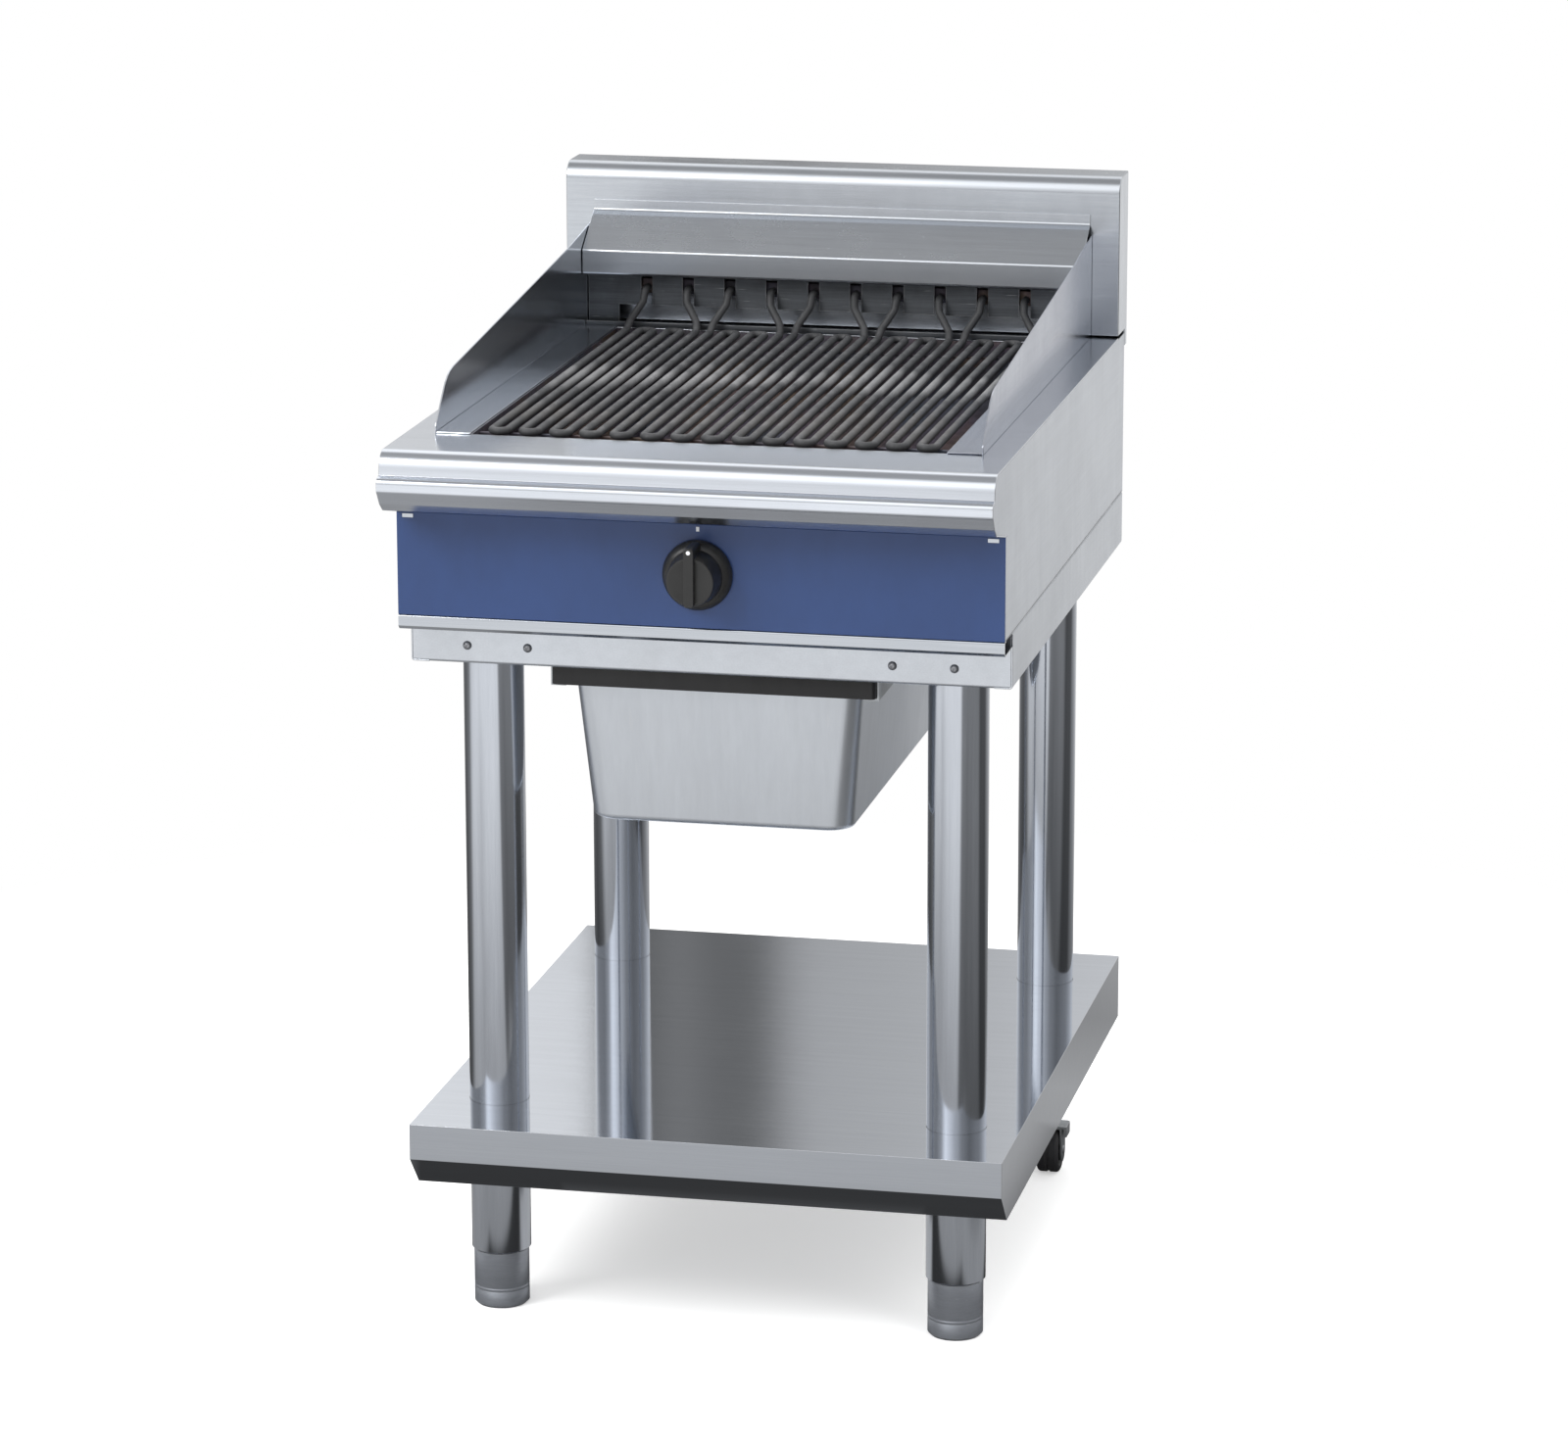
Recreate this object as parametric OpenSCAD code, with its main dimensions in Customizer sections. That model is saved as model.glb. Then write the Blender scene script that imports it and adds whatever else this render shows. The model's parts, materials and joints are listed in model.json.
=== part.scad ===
// Electric charbroiler grill on a leg stand with an undershelf.
// Millimetres, +Z up, front towards -Y. The origin is on the floor, under the middle of the whole unit.

/* [Overall] */
// Width of the unit
unit_w = 600; // [560:10:640]
// Depth from the nose to the rear of the shelf
unit_d = 812; // [800:2:824]
// Height of the deck above the floor
deck_z = 915; // [905:1:925]
// Height of the splashback's top above the floor
total_h = 1085; // [1075:1:1100]
// Thickness of the casing sheets
sheet_t = 1.5; // [1.2:0.1:2]

/* [Stand] */
// Outside diameter of the leg tubes
leg_d = 60.3; // [58:0.1:62]
// Distance of each leg's centre from the middle
leg_x = 235; // [230:1:240]
// Place of the front legs along the depth
leg_front_y = -222; // [-226:1:-218]
// Place of the rear legs along the depth
leg_rear_y = 305; // [300:1:308]
// Height of the shelf's top face
shelf_z = 218; // [200:1:260]
// Height of the shelf's side walls
shelf_h = 69; // [60:1:76]
// Height of the shelf's plain front face, above its bevel
shelf_face_h = 36.5; // [30:0.5:40]
// Run of the bevel under the shelf's front face
shelf_bevel = 31.5; // [25:0.5:34]
// Height of the rails that join the legs
rail_h = 57; // [50:1:60]

/* [Controls] */
// Height of the painted control panel
panel_h = 102; // [98:1:104]
// Diameter of the knob's skirt
knob_d = 69; // [60:1:72]
// How far the knob stands out of the panel
knob_len = 42; // [34:1:50]

/* [Cooking] */
// Number of legs in each heating element
element_legs = 6; // [4:2:6]
// Distance from one leg of an element to the next
leg_pitch = 15.2; // [14.6:0.1:15.4]
// Distance from one element to the next
element_pitch = 91; // [88:1:92]
// Diameter of an element's tube
element_d = 8; // [7:0.1:8.4]
// Half the width of the well's opening
well_x = 235; // [233:1:237]
// Front edge of the well's opening
well_front_y = -294; // [-296:1:-292]
// Rear edge of the well's opening
well_rear_y = 306; // [304:1:308]
// Distance of the side guards from the middle
guard_x = 271; // [262:1:274]

/* [Drip pan] */
// Outside width of the pan's carrier
carrier_w = 324; // [320:1:326]
// Outside length of the pan's carrier
carrier_l = 530; // [520:1:534]
// Depth of the pan below its rim
pan_depth = 163.5; // [90:0.5:170]

/* [Hidden] */
half_w = unit_w / 2;
nose_y = -unit_d / 2;
rear_y = unit_d / 2;
panel_y = nose_y + 70;          // front of the painted panel
body_rear_y = rear_y - 18;      // rear of the casing
splash_front_y = rear_y - 59;   // front face of the splashback
splash_rear_y = rear_y - 2;
rail_front_y = nose_y + 115;    // front face of the stand's front rail
stand_top = deck_z - 173;       // where the casing sits on the stand
rail_bottom = stand_top - rail_h;
panel_top = stand_top - 1 + panel_h;
base_t = 1.5;
deck_t = 1.6;
leg_r = leg_d / 2;
leg_bottom = 60;                // lower end of the front legs
rear_leg_bottom = 95;
leg_wall = 1.6;
shelf_front_y = nose_y + 76;
shelf_rear_y = rear_y;
knob_z = panel_top - 48;
lip_r = 6;
bar_z = deck_z + 0.5;           // centre of the element bars
bar_front_y = well_front_y + 17;
bar_rear_y = well_rear_y - 18;
pivot_y = splash_front_y - 15;
pivot_z = deck_z + 43;
pivot_r = 4;
tail_z = pivot_z - 1.2;         // where the tails enter their holders
slot_face_y = pivot_y - 15;     // front of the slotted panel
cover_front_y = splash_front_y - 56;
cover_bottom = deck_z + 58;
cover_fold_z = deck_z + 85;
cover_top = deck_z + 117;
carrier_front_y = rail_front_y + 15;
carrier_bottom = rail_bottom - 21;
carrier_top = rail_bottom - 2;
rim_t = 1.2;
pan_wall = 1.2;
pan_bottom = carrier_top + rim_t - pan_depth;
runner_gap = 0.5;
wheel_r = 25;
wheel_w = 24;
wheel_x = leg_x + 7.5;
axle_r = 5;
stud_r = 8;
foot_r = 28;
throat_x = 124;
throat_front_y = -236;
throat_rear_y = 212;
throat_bottom = rail_bottom + 7;
screw_x = [182, 243];
screw_z = rail_bottom + 18;
$fn = 48;

// Shared shapes

function unit(v) = v / norm(v);
function left_of(v) = [-v[1], v[0]];
function arc(c, r, a0, a1, steps) =
  [for (i = [0 : steps]) let (a = a0 + (a1 - a0) * i / steps) c + r * [cos(a), sin(a)]];
// One point of a polyline moved sideways by t, mitred at the bends
function moved(p, i, t) =
  let (n = len(p), a = i > 0 ? unit(p[i] - p[i - 1]) : unit(p[1] - p[0]),
       b = i < n - 1 ? unit(p[i + 1] - p[i]) : a, m = unit(left_of(a) + left_of(b)))
  p[i] + m * t / (m * left_of(a));
function moved_all(p, t) = [for (i = [0 : len(p) - 1]) moved(p, i, t)];

// A folded sheet seen on edge: the polyline p thickened by t to its left
module folded(p, t) {
  q = moved_all(p, t);
  polygon(concat(p, [for (i = [len(q) - 1 : -1 : 0]) q[i]]));
}

// Extrudes a (y, z) outline along X, from x0 to x1
module along_x(x0, x1) {
  translate([x0, 0, 0]) rotate([90, 0, 90]) linear_extrude(x1 - x0) children();
}

// A box given by its two corners
module block(a, b) {
  translate(a) cube(b - a);
}

// A rectangle with rounded corners, given by its edges
module rounded_rect(x0, x1, y0, y1, r) {
  translate([x0 + r, y0 + r]) offset(r) square([x1 - x0 - 2 * r, y1 - y0 - 2 * r]);
}

module slab(x, y0, y1, r, z, t) {
  translate([0, 0, z]) linear_extrude(t) rounded_rect(-x, x, y0, y1, r);
}

// A cylinder along Y or X
module rod_y(r, x, z, y0, y1) {
  translate([x, y0, z]) rotate([-90, 0, 0]) cylinder(r = r, h = y1 - y0);
}
module rod_x(r, y, z, x0, x1) {
  translate([x0, y, z]) rotate([0, 90, 0]) cylinder(r = r, h = x1 - x0);
}

function leg_y(front) = front ? leg_front_y : leg_rear_y;
module at_legs() {
  for (side = [-1, 1], front = [true, false]) translate([side * leg_x, leg_y(front), 0]) children();
}

// Stand

module leg(side, front) {
  bottom = front ? leg_bottom : rear_leg_bottom;
  color("silver") translate([side * leg_x, leg_y(front), bottom]) difference() {
    cylinder(r = leg_r, h = stand_top - 4 - bottom);
    translate([0, 0, -1]) cylinder(r = leg_r - leg_wall, h = stand_top);
  }
}

// Sleeves that hold the leg tops to the rails and the casing's base
module leg_sockets() {
  plate = 3;
  inner = 168;
  outer = 262;
  cap_outer = 275;
  color("gainsboro") for (side = [-1, 1], front = [true, false]) {
    face_y = front ? rail_front_y + sheet_t : body_rear_y - sheet_t;
    inner_y = face_y + (front ? plate : -plate);
    y = leg_y(front);
    far_y = y + (front ? 38 : -38);
    difference() {
      union() {
        translate([side * leg_x, y, rail_bottom + 5]) cylinder(r = leg_r + 3, h = rail_h - 9);
        block([side > 0 ? inner : -cap_outer, min(face_y, far_y), stand_top - 5],
              [side > 0 ? cap_outer : -inner, max(face_y, far_y), stand_top - sheet_t - 0.2]);
        block([side > 0 ? inner : -outer, min(face_y, inner_y), rail_bottom + 6],
              [side > 0 ? outer : -inner, max(face_y, inner_y), stand_top - sheet_t - 0.2]);
      }
      translate([side * leg_x, y, 0]) cylinder(r = leg_r + 0.05, h = stand_top - 3.9);
      for (x = screw_x) rod_y(2.6, side * x, screw_z, face_y - 10, face_y + 10);
    }
  }
}

// Inserts in the lower ends of the front legs, with the threaded hole for each foot
module leg_plugs() {
  color("dimgray") for (side = [-1, 1]) translate([side * leg_x, leg_front_y, leg_bottom]) difference() {
    cylinder(r = leg_r - leg_wall - 0.05, h = 26);
    translate([0, 0, -1]) cylinder(r = stud_r + 0.06, h = 28);
  }
}

// Front and rear rails: a face with a return at the top and the bottom
module cross_rail(y, dir) {
  flange = 20;
  path = [[y + dir * flange, rail_bottom], [y, rail_bottom], [y, stand_top - 0.2],
          [y + dir * flange, stand_top - 0.2]];
  along_x(-half_w + sheet_t + 0.1, half_w - sheet_t - 0.1) folded(path, -dir * sheet_t);
}
module front_rail() {
  color("silver") difference() {
    cross_rail(rail_front_y, 1);
    for (side = [-1, 1], x = screw_x) rod_y(2.6, side * x, screw_z, rail_front_y - 5, rail_front_y + 5);
  }
}
module rear_rail() {
  color("silver") difference() {
    cross_rail(body_rear_y, -1);
    for (side = [-1, 1], x = screw_x) rod_y(2.6, side * x, screw_z, body_rear_y - 5, body_rear_y + 5);
  }
}

module side_rail(side) {
  flange = 18;
  corner = 21;
  web_x = half_w - sheet_t;
  color("silver") mirror([side > 0 ? 0 : 1, 0, 0]) union() {
    block([web_x, rail_front_y, rail_bottom], [half_w, body_rear_y, stand_top - 0.2]);
    for (z = [rail_bottom, stand_top - 0.2 - sheet_t])
      block([half_w - flange, rail_front_y + corner, z], [half_w, body_rear_y - corner, z + sheet_t]);
  }
}

// Folded tray with a bevelled front, holed for the four legs
module undershelf() {
  bottom = shelf_z - shelf_h;
  hem = 14;
  outline = [[shelf_front_y + shelf_bevel, bottom], [shelf_front_y, shelf_z - shelf_face_h],
             [shelf_front_y, shelf_z], [shelf_rear_y, shelf_z], [shelf_rear_y, bottom]];
  path = concat([[shelf_front_y + shelf_bevel + hem, bottom]], outline,
                [[shelf_rear_y - hem, bottom]]);
  color("silver") difference() {
    union() {
      along_x(-half_w, half_w) folded(path, -sheet_t);
      for (side = [-1, 1])
        along_x(side > 0 ? half_w - sheet_t : -half_w, side > 0 ? half_w : -half_w + sheet_t)
          polygon(outline);
    }
    at_legs() cylinder(r = leg_r + 0.3, h = shelf_z + 10);
  }
}

// Collars under the shelf that carry it on the legs
module shelf_collars() {
  color("gray") at_legs() translate([0, 0, shelf_z - sheet_t - 16]) difference() {
    cylinder(r = leg_r + 5, h = 15.8);
    translate([0, 0, -1]) cylinder(r = leg_r + 0.05, h = 20);
  }
}

// Adjustable foot: a turned body on a threaded stud
module foot(side) {
  top = leg_bottom - 0.5;
  color("darkgray") translate([side * leg_x, leg_front_y, 0]) union() {
    rotate_extrude() polygon([[0, 0], [foot_r - 3, 0], [foot_r, 3], [foot_r, top - 1],
                              [foot_r - 1, top], [stud_r, top], [stud_r, top + 58], [0, top + 58]]);
  }
}

// Fork under a rear leg: a plug and cap in the tube, a stem, a crown and two plates with the axle's holes
module roller_bracket(side) {
  crown_z = 2 * wheel_r + 1;
  plate = 2;
  half = 20;
  outer = side * (wheel_x + half);
  color("gray") difference() {
    union() {
      translate([side * leg_x, leg_rear_y, rear_leg_bottom]) cylinder(r = leg_r - leg_wall - 0.05, h = 22);
      translate([side * leg_x, leg_rear_y, rear_leg_bottom - 5]) cylinder(r = leg_r, h = 5);
      translate([side * leg_x, leg_rear_y, crown_z]) cylinder(r = 10, h = rear_leg_bottom - 1 - crown_z);
      block([side * wheel_x - half, leg_rear_y - 13, crown_z],
            [side * wheel_x + half, leg_rear_y + 13, crown_z + 3.5]);
      block([min(outer, outer - side * plate), leg_rear_y - 13, crown_z - 9],
            [max(outer, outer - side * plate), leg_rear_y + 13, crown_z + 1]);
      for (k = [-1, 1]) {
        x = side * wheel_x + k * (wheel_w / 2 + 0.6 + plate / 2);
        block([x - plate / 2, leg_rear_y - 13, wheel_r], [x + plate / 2, leg_rear_y + 13, crown_z + 1]);
        rod_x(13, leg_rear_y, wheel_r, x - plate / 2, x + plate / 2);
      }
    }
    rod_x(axle_r + 0.02, leg_rear_y, wheel_r, side * wheel_x - half, side * wheel_x + half);
  }
}

module roller_axle(side) {
  reach = wheel_w / 2 + 3.6;
  color("silver") rod_x(axle_r, leg_rear_y, wheel_r, side * wheel_x - reach, side * wheel_x + reach);
}

module roller_wheel(side) {
  edge = 2;
  w = wheel_w / 2;
  color([0.13, 0.13, 0.14]) translate([side * wheel_x, leg_rear_y, wheel_r]) rotate([0, 90, 0])
    rotate_extrude() polygon([[axle_r + 0.05, -w], [10, -w], [10, -w + 1], [wheel_r - 6, -w + 1],
      [wheel_r - edge, -w], [wheel_r, -w + edge], [wheel_r, w - edge], [wheel_r - edge, w],
      [wheel_r - 6, w - 1], [10, w - 1], [10, w], [axle_r + 0.05, w]]);
}

module rail_screws() {
  color("dimgray") for (side = [-1, 1], x = screw_x) {
    rod_y(4.5, side * x, screw_z, rail_front_y - 2.4, rail_front_y - 0.02);
    rod_y(2.5, side * x, screw_z, rail_front_y - 0.02, rail_front_y + 9);
  }
}

// Casing

// The deck's section, from its rear edge over the rolled nose and back to the control panel
deck_path = concat([[splash_front_y, deck_z]],
  arc([nose_y + 28, deck_z - 17], 17, 90, 172, 5),
  [[nose_y + 9.5, deck_z - 23]],
  arc([nose_y + lip_r, deck_z - 30], lip_r, 110, 180, 3),
  arc([nose_y + 4, deck_z - 36], 4, 180, 230, 2),
  [[nose_y + 10, panel_top + 21], [nose_y + 21, panel_top + 12.5],
   [panel_y, panel_top + 1.5], [panel_y + 12, panel_top + 1.5]]);

module hob_deck() {
  color("gainsboro") difference() {
    along_x(-half_w, half_w) folded(deck_path, deck_t);
    block([-well_x, well_front_y, deck_z - 5], [well_x, well_rear_y, deck_z + 5]);
  }
}

// Side sheet, closing the end of the nose
module side_panel(side) {
  inner = moved_all(deck_path, deck_t + 0.05);
  last = len(inner) - 1;
  bottom = stand_top + base_t + 0.1;
  outline = concat([for (i = [0 : last - 1]) inner[i]],
    [[panel_y + 12.1, inner[last][1]], [panel_y + 12.1, panel_top + 1.3],
     [panel_y + sheet_t + 0.1, panel_top + 1.3], [panel_y + sheet_t + 0.1, bottom],
     [body_rear_y, bottom], [body_rear_y, inner[0][1]]]);
  edge = side > 0 ? half_w : -half_w + sheet_t;
  color("darkgray") along_x(edge - sheet_t, edge) polygon(outline);
}

module rear_panel() {
  vent_w = 60;
  color("silver") difference() {
    block([-half_w + sheet_t + 0.1, body_rear_y - sheet_t, stand_top + base_t + 0.1],
          [half_w - sheet_t - 0.1, body_rear_y, deck_z - 17]);
    for (i = [0 : 5], k = [0 : 1])
      block([20 + i * 42, body_rear_y - 5, stand_top + 60 + k * 40],
            [24 + i * 42, body_rear_y + 5, stand_top + 88 + k * 40]);
    rod_y(12.6, -200, stand_top + 45, body_rear_y - 5, body_rear_y + 5);
  }
}

// Underside of the casing, open over the pan
module base_panel() {
  color("silver") difference() {
    block([-half_w, panel_y + sheet_t + 0.1, stand_top], [half_w, body_rear_y, stand_top + base_t]);
    block([-throat_x - 3, throat_front_y - 3, stand_top - 5],
          [throat_x + 3, throat_rear_y + 3, stand_top + 5]);
  }
}

module control_panel() {
  color([0.26, 0.33, 0.51]) difference() {
    block([-half_w, panel_y, stand_top], [half_w, panel_y + sheet_t, panel_top + 1.4]);
    rod_y(5, 0, knob_z, panel_y - 5, panel_y + 5);
  }
}

// Bright strip under the control panel, folded back to the stand's front rail
module lower_trim() {
  path = [[panel_y + 8, stand_top - 0.2], [panel_y + 1.5, stand_top - 0.2], [panel_y, stand_top - 1.8],
          [panel_y, stand_top - 11.5], [panel_y + 3.5, stand_top - 15], [rail_front_y - 0.3, stand_top - 15]];
  color("white") along_x(-half_w, half_w) folded(path, 1.2);
}

module splashback() {
  t = 1.2;
  corner = 18;
  front = splash_front_y;
  rear = splash_rear_y;
  arc_points = arc([front + corner, total_h - corner], corner, 180, 90, 5);
  path = concat([[front + 25, deck_z + 1.7], [front, deck_z + 1.7]], arc_points,
    [[rear, total_h], [rear, deck_z - 16], [body_rear_y + 1.5, deck_z - 16]]);
  color("silver") union() {
    along_x(-half_w, half_w) folded(path, -t);
    for (side = [-1, 1]) along_x(side > 0 ? half_w - t : -half_w, side > 0 ? half_w : -half_w + t)
      polygon(concat([[front, deck_z + 1.7]], arc_points, [[rear, total_h], [rear, deck_z - 16],
        [body_rear_y + 1.5, deck_z - 16], [body_rear_y + 1.5, deck_z + 1.7]]));
  }
}

// Hood over the elements' hinge, in front of the splashback
module element_cover() {
  back = splash_front_y - sheet_t - 0.2;
  path = [[back, cover_top + 14], [back, cover_top + 3], [splash_front_y - 10, cover_top - 1],
          [cover_front_y, cover_fold_z], [cover_front_y, cover_bottom], [cover_front_y + 9, cover_bottom]];
  color("darkgray") along_x(-guard_x + 2.2, guard_x - 2.2) folded(path, sheet_t);
}

function tail_x(i, k) = element_x(i) + k * element_pitch / 4;
function element_x(i) = (i - 3) * element_pitch;

// Comb-shaped sheet that the elements' tails pass through
module slotted_panel() {
  foot_y = well_rear_y + 0.2;
  foot_z = deck_z + 0.1;
  end = guard_x - 2.2;
  color("gray") difference() {
    union() {
      block([-end, slot_face_y, deck_z + 23], [end, slot_face_y + sheet_t, cover_fold_z + 12]);
      block([-end, slot_face_y, foot_z], [-well_x, slot_face_y + sheet_t, deck_z + 24]);
      block([well_x, slot_face_y, foot_z], [end, slot_face_y + sheet_t, deck_z + 24]);
      block([-end, foot_y, foot_z], [end, slot_face_y + sheet_t, deck_z + 1.6]);
      block([-end, foot_y, foot_z], [end, foot_y + sheet_t, deck_z + 6]);
    }
    for (i = [1 : 5], k = [-1, 1])
      block([tail_x(i, k) - 6, slot_face_y - 5, deck_z + 20],
            [tail_x(i, k) + 6, slot_face_y + 5, pivot_z + 18]);
  }
}

// Funnel from the well's opening down to the drip pan
module well_liner() {
  t = 1.2;
  top = deck_z - deck_t - 0.1;
  wall_bottom = deck_z - 64;
  throat_top = stand_top + 4;
  lip = 12;
  module walls(grow) {
    block([-well_x - grow, well_front_y - grow, wall_bottom], [well_x + grow, well_rear_y + grow, top + 1]);
    hull() {
      block([-well_x - grow, well_front_y - grow, wall_bottom],
            [well_x + grow, well_rear_y + grow, wall_bottom + 0.1]);
      block([-throat_x - grow, throat_front_y - grow, throat_top],
            [throat_x + grow, throat_rear_y + grow, throat_top + 0.1]);
    }
    block([-throat_x - grow, throat_front_y - grow, throat_bottom],
          [throat_x + grow, throat_rear_y + grow, throat_top + 0.1]);
  }
  color("dimgray") difference() {
    union() {
      intersection() {
        walls(t);
        block([-half_w, nose_y, throat_bottom], [half_w, rear_y, top]);
      }
      block([-well_x - lip, well_front_y - lip, top - t], [well_x + lip, well_rear_y + lip, top]);
    }
    walls(0);
    block([-throat_x, throat_front_y, throat_bottom - 1], [throat_x, throat_rear_y, throat_bottom + 1]);
  }
}

// Side guard: an upright sheet whose top slopes up to the rear, with a flange towards the well
module guard(side) {
  t = 1.5;
  foot_z = deck_z + 0.2;
  front = well_front_y - 2;
  outline = [[front, foot_z], [front, deck_z + 8], [front + 20, deck_z + 28], [front + 36, deck_z + 43],
             [front + 50, deck_z + 51], [front + 66, deck_z + 54], [cover_front_y - 51, deck_z + 96],
             [splash_front_y - 2, deck_z + 109], [splash_front_y - 2, foot_z]];
  color("lightgray") union() {
    along_x(side > 0 ? guard_x - t : -guard_x, side > 0 ? guard_x : -guard_x + t) polygon(outline);
    block([side > 0 ? well_x + 0.5 : -guard_x, front, foot_z],
          [side > 0 ? guard_x : -well_x - 0.5, well_rear_y - 1, foot_z + t]);
  }
}

// Bars across the well that carry the elements
module element_rest() {
  top = bar_z - element_d / 2 - 0.4;
  color("dimgray") for (y = [bar_front_y + 16, bar_rear_y - 60])
    block([-well_x, y - 3, top - 10], [well_x, y + 3, top]);
}

module hinge_shaft() {
  color("silver") rod_x(pivot_r, pivot_y, pivot_z, -246, 246);
}

module shaft_brackets() {
  color("gray") for (side = [-1, 1]) difference() {
    union() {
      block([side > 0 ? 240 : -243, pivot_y - 9, pivot_z - 10],
            [side > 0 ? 243 : -240, splash_front_y - 0.2, pivot_z + 10]);
      block([side > 0 ? 225 : -243, splash_front_y - 2.2, pivot_z - 10],
            [side > 0 ? 243 : -225, splash_front_y - 0.2, pivot_z + 10]);
    }
    rod_x(pivot_r + 0.02, pivot_y, pivot_z, side * 242 - 6, side * 242 + 6);
  }
}

// Elements

// The centre line of one element: tail, six legs joined by bends, tail
bend_steps = 6;
function bend(x, y, dir) =
  [for (i = [0 : bend_steps]) let (a = 180 * i / bend_steps)
    [x + leg_pitch / 2 * (1 - cos(a)), y + dir * leg_pitch / 2 * sin(a), bar_z]];
// A tail, from the holder down to the bar: its share of the sideways move, then y and z
tail_shape = [[1, pivot_y - 6, tail_z], [1, slot_face_y - 1, tail_z - 1], [0.95, slot_face_y - 8, tail_z - 5],
  [0.8, slot_face_y - 12, tail_z - 12], [0.2, bar_rear_y + 9, bar_z + 12], [0, bar_rear_y + 6, bar_z + 4.5],
  [0, bar_rear_y, bar_z + 0.8], [0, bar_rear_y - 8, bar_z]];
function tail(x, k) = [for (p = tail_shape) [x + (k * element_pitch / 4 - x) * p[0], p[1], p[2]]];
function leg_at(j) = (j - (element_legs - 1) / 2) * leg_pitch;
function reversed(v) = [for (i = [len(v) - 1 : -1 : 0]) v[i]];
function element_line() = concat(
  tail(leg_at(0), -1),
  [for (j = [0 : element_legs - 2])
    each bend(leg_at(j), j % 2 == 0 ? bar_front_y + leg_pitch / 2 : bar_rear_y - leg_pitch / 2,
              j % 2 == 0 ? -1 : 1)],
  reversed(tail(leg_at(element_legs - 1), 1)));

// A round tube swept along a line of points, as one closed skin
module swept(points, r, sides) {
  n = len(points);
  function step(i) = unit(points[i + 1] - points[i]);
  function dir(i) = unit(step(min(i, n - 2)) + step(max(i - 1, 0)));
  function side_of(d) = unit(cross(d, abs(d[2]) > 0.9 ? [0, 1, 0] : [0, 0, 1]));
  rings = [for (i = [0 : n - 1]) let (d = dir(i), s = side_of(d), u = cross(s, d))
    for (k = [0 : sides - 1]) points[i] + r * (cos(360 * k / sides) * s + sin(360 * k / sides) * u)];
  skin = [for (i = [0 : n - 2], k = [0 : sides - 1])
    let (a = i * sides + k, b = i * sides + (k + 1) % sides) [a, a + sides, b + sides, b]];
  polyhedron(rings, concat(skin, [[for (k = [0 : sides - 1]) k]],
    [[for (k = [sides - 1 : -1 : 0]) (n - 1) * sides + k]]), convexity = 10);
}

module heating_element(i) {
  color([0.2, 0.2, 0.2]) translate([element_x(i), 0, 0]) swept(element_line(), element_d / 2, 10);
}

// Block that carries both tails of one element and turns on the hinge shaft
module element_holder(i) {
  h = 8;
  color("gray") difference() {
    block([element_x(i) - 30, pivot_y - h, pivot_z - h], [element_x(i) + 30, pivot_y + h, pivot_z + h]);
    rod_x(pivot_r + 0.05, pivot_y, pivot_z, element_x(i) - 40, element_x(i) + 40);
    for (k = [-1, 1]) rod_y(element_d / 2 + 0.1, tail_x(i, k), tail_z, pivot_y - 20, pivot_y - 5);
  }
}

// Controls

module control_knob() {
  face = knob_len - 5;
  color([0.1, 0.1, 0.1]) translate([0, panel_y, knob_z]) rotate([90, 0, 0]) difference() {
    union() {
      rotate_extrude() polygon([[0, 0.4], [knob_d / 2, 0.4], [knob_d / 2, 5], [knob_d / 2 - 3, 9],
        [26.5, 11], [24.5, 14], [23.5, face], [22, face + 1.5], [0, face + 1.5]]);
      translate([-5, -24, 8.5]) cube([10, 58, knob_len - 8.5]);
    }
    translate([0, 0, -1]) cylinder(r = 3.05, h = 20);
  }
}

module knob_dot() {
  color("white") translate([0, panel_y, knob_z]) rotate([90, 0, 0])
    translate([0, 30, knob_len + 0.02]) cylinder(r = 2, h = 0.4);
}

module index_mark() {
  color("white") block([-1.5, panel_y - 0.6, panel_top - 5.5], [1.5, panel_y - 0.02, panel_top - 1]);
}

module rotary_switch() {
  back = panel_y + sheet_t + 0.1;
  color("ivory") union() {
    block([-22, back, knob_z - 22], [22, back + 34, knob_z + 22]);
    rod_y(3, 0, knob_z, panel_y - 18, back + 1);
    for (x = [-14, 0, 14]) block([x - 3, back + 33, knob_z - 18], [x + 3, back + 40, knob_z - 10]);
  }
}

module contactor() {
  back = panel_y + sheet_t + 5;
  floor_z = stand_top + base_t + 0.1;
  color("lightgray") union() {
    block([-180, back, floor_z + 4], [-135, back + 34, floor_z + 62]);
    block([-176, back + 6, floor_z], [-139, back + 26, floor_z + 66]);
  }
}

module terminal_block() {
  wall = body_rear_y - sheet_t - 0.1;
  color("ivory") union() {
    block([-150, wall - 8, stand_top + 30], [-60, wall, stand_top + 58]);
    for (i = [0 : 4])
      block([-147 + i * 18, wall - 24, stand_top + 33], [-135 + i * 18, wall - 7, stand_top + 55]);
  }
}

module cable_gland() {
  color([0.15, 0.15, 0.15]) translate([-200, body_rear_y, stand_top + 45]) rotate([-90, 0, 0]) difference() {
    union() {
      translate([0, 0, -14]) cylinder(r = 12.5, h = 20);
      translate([0, 0, -9]) cylinder(r = 17, h = 7, $fn = 6);
      translate([0, 0, 0.1]) cylinder(r = 17, h = 7, $fn = 6);
      translate([0, 0, 7]) cylinder(r = 14, h = 9);
    }
    translate([0, 0, -20]) cylinder(r = 9, h = 40);
  }
}

// Drip pan

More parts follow.
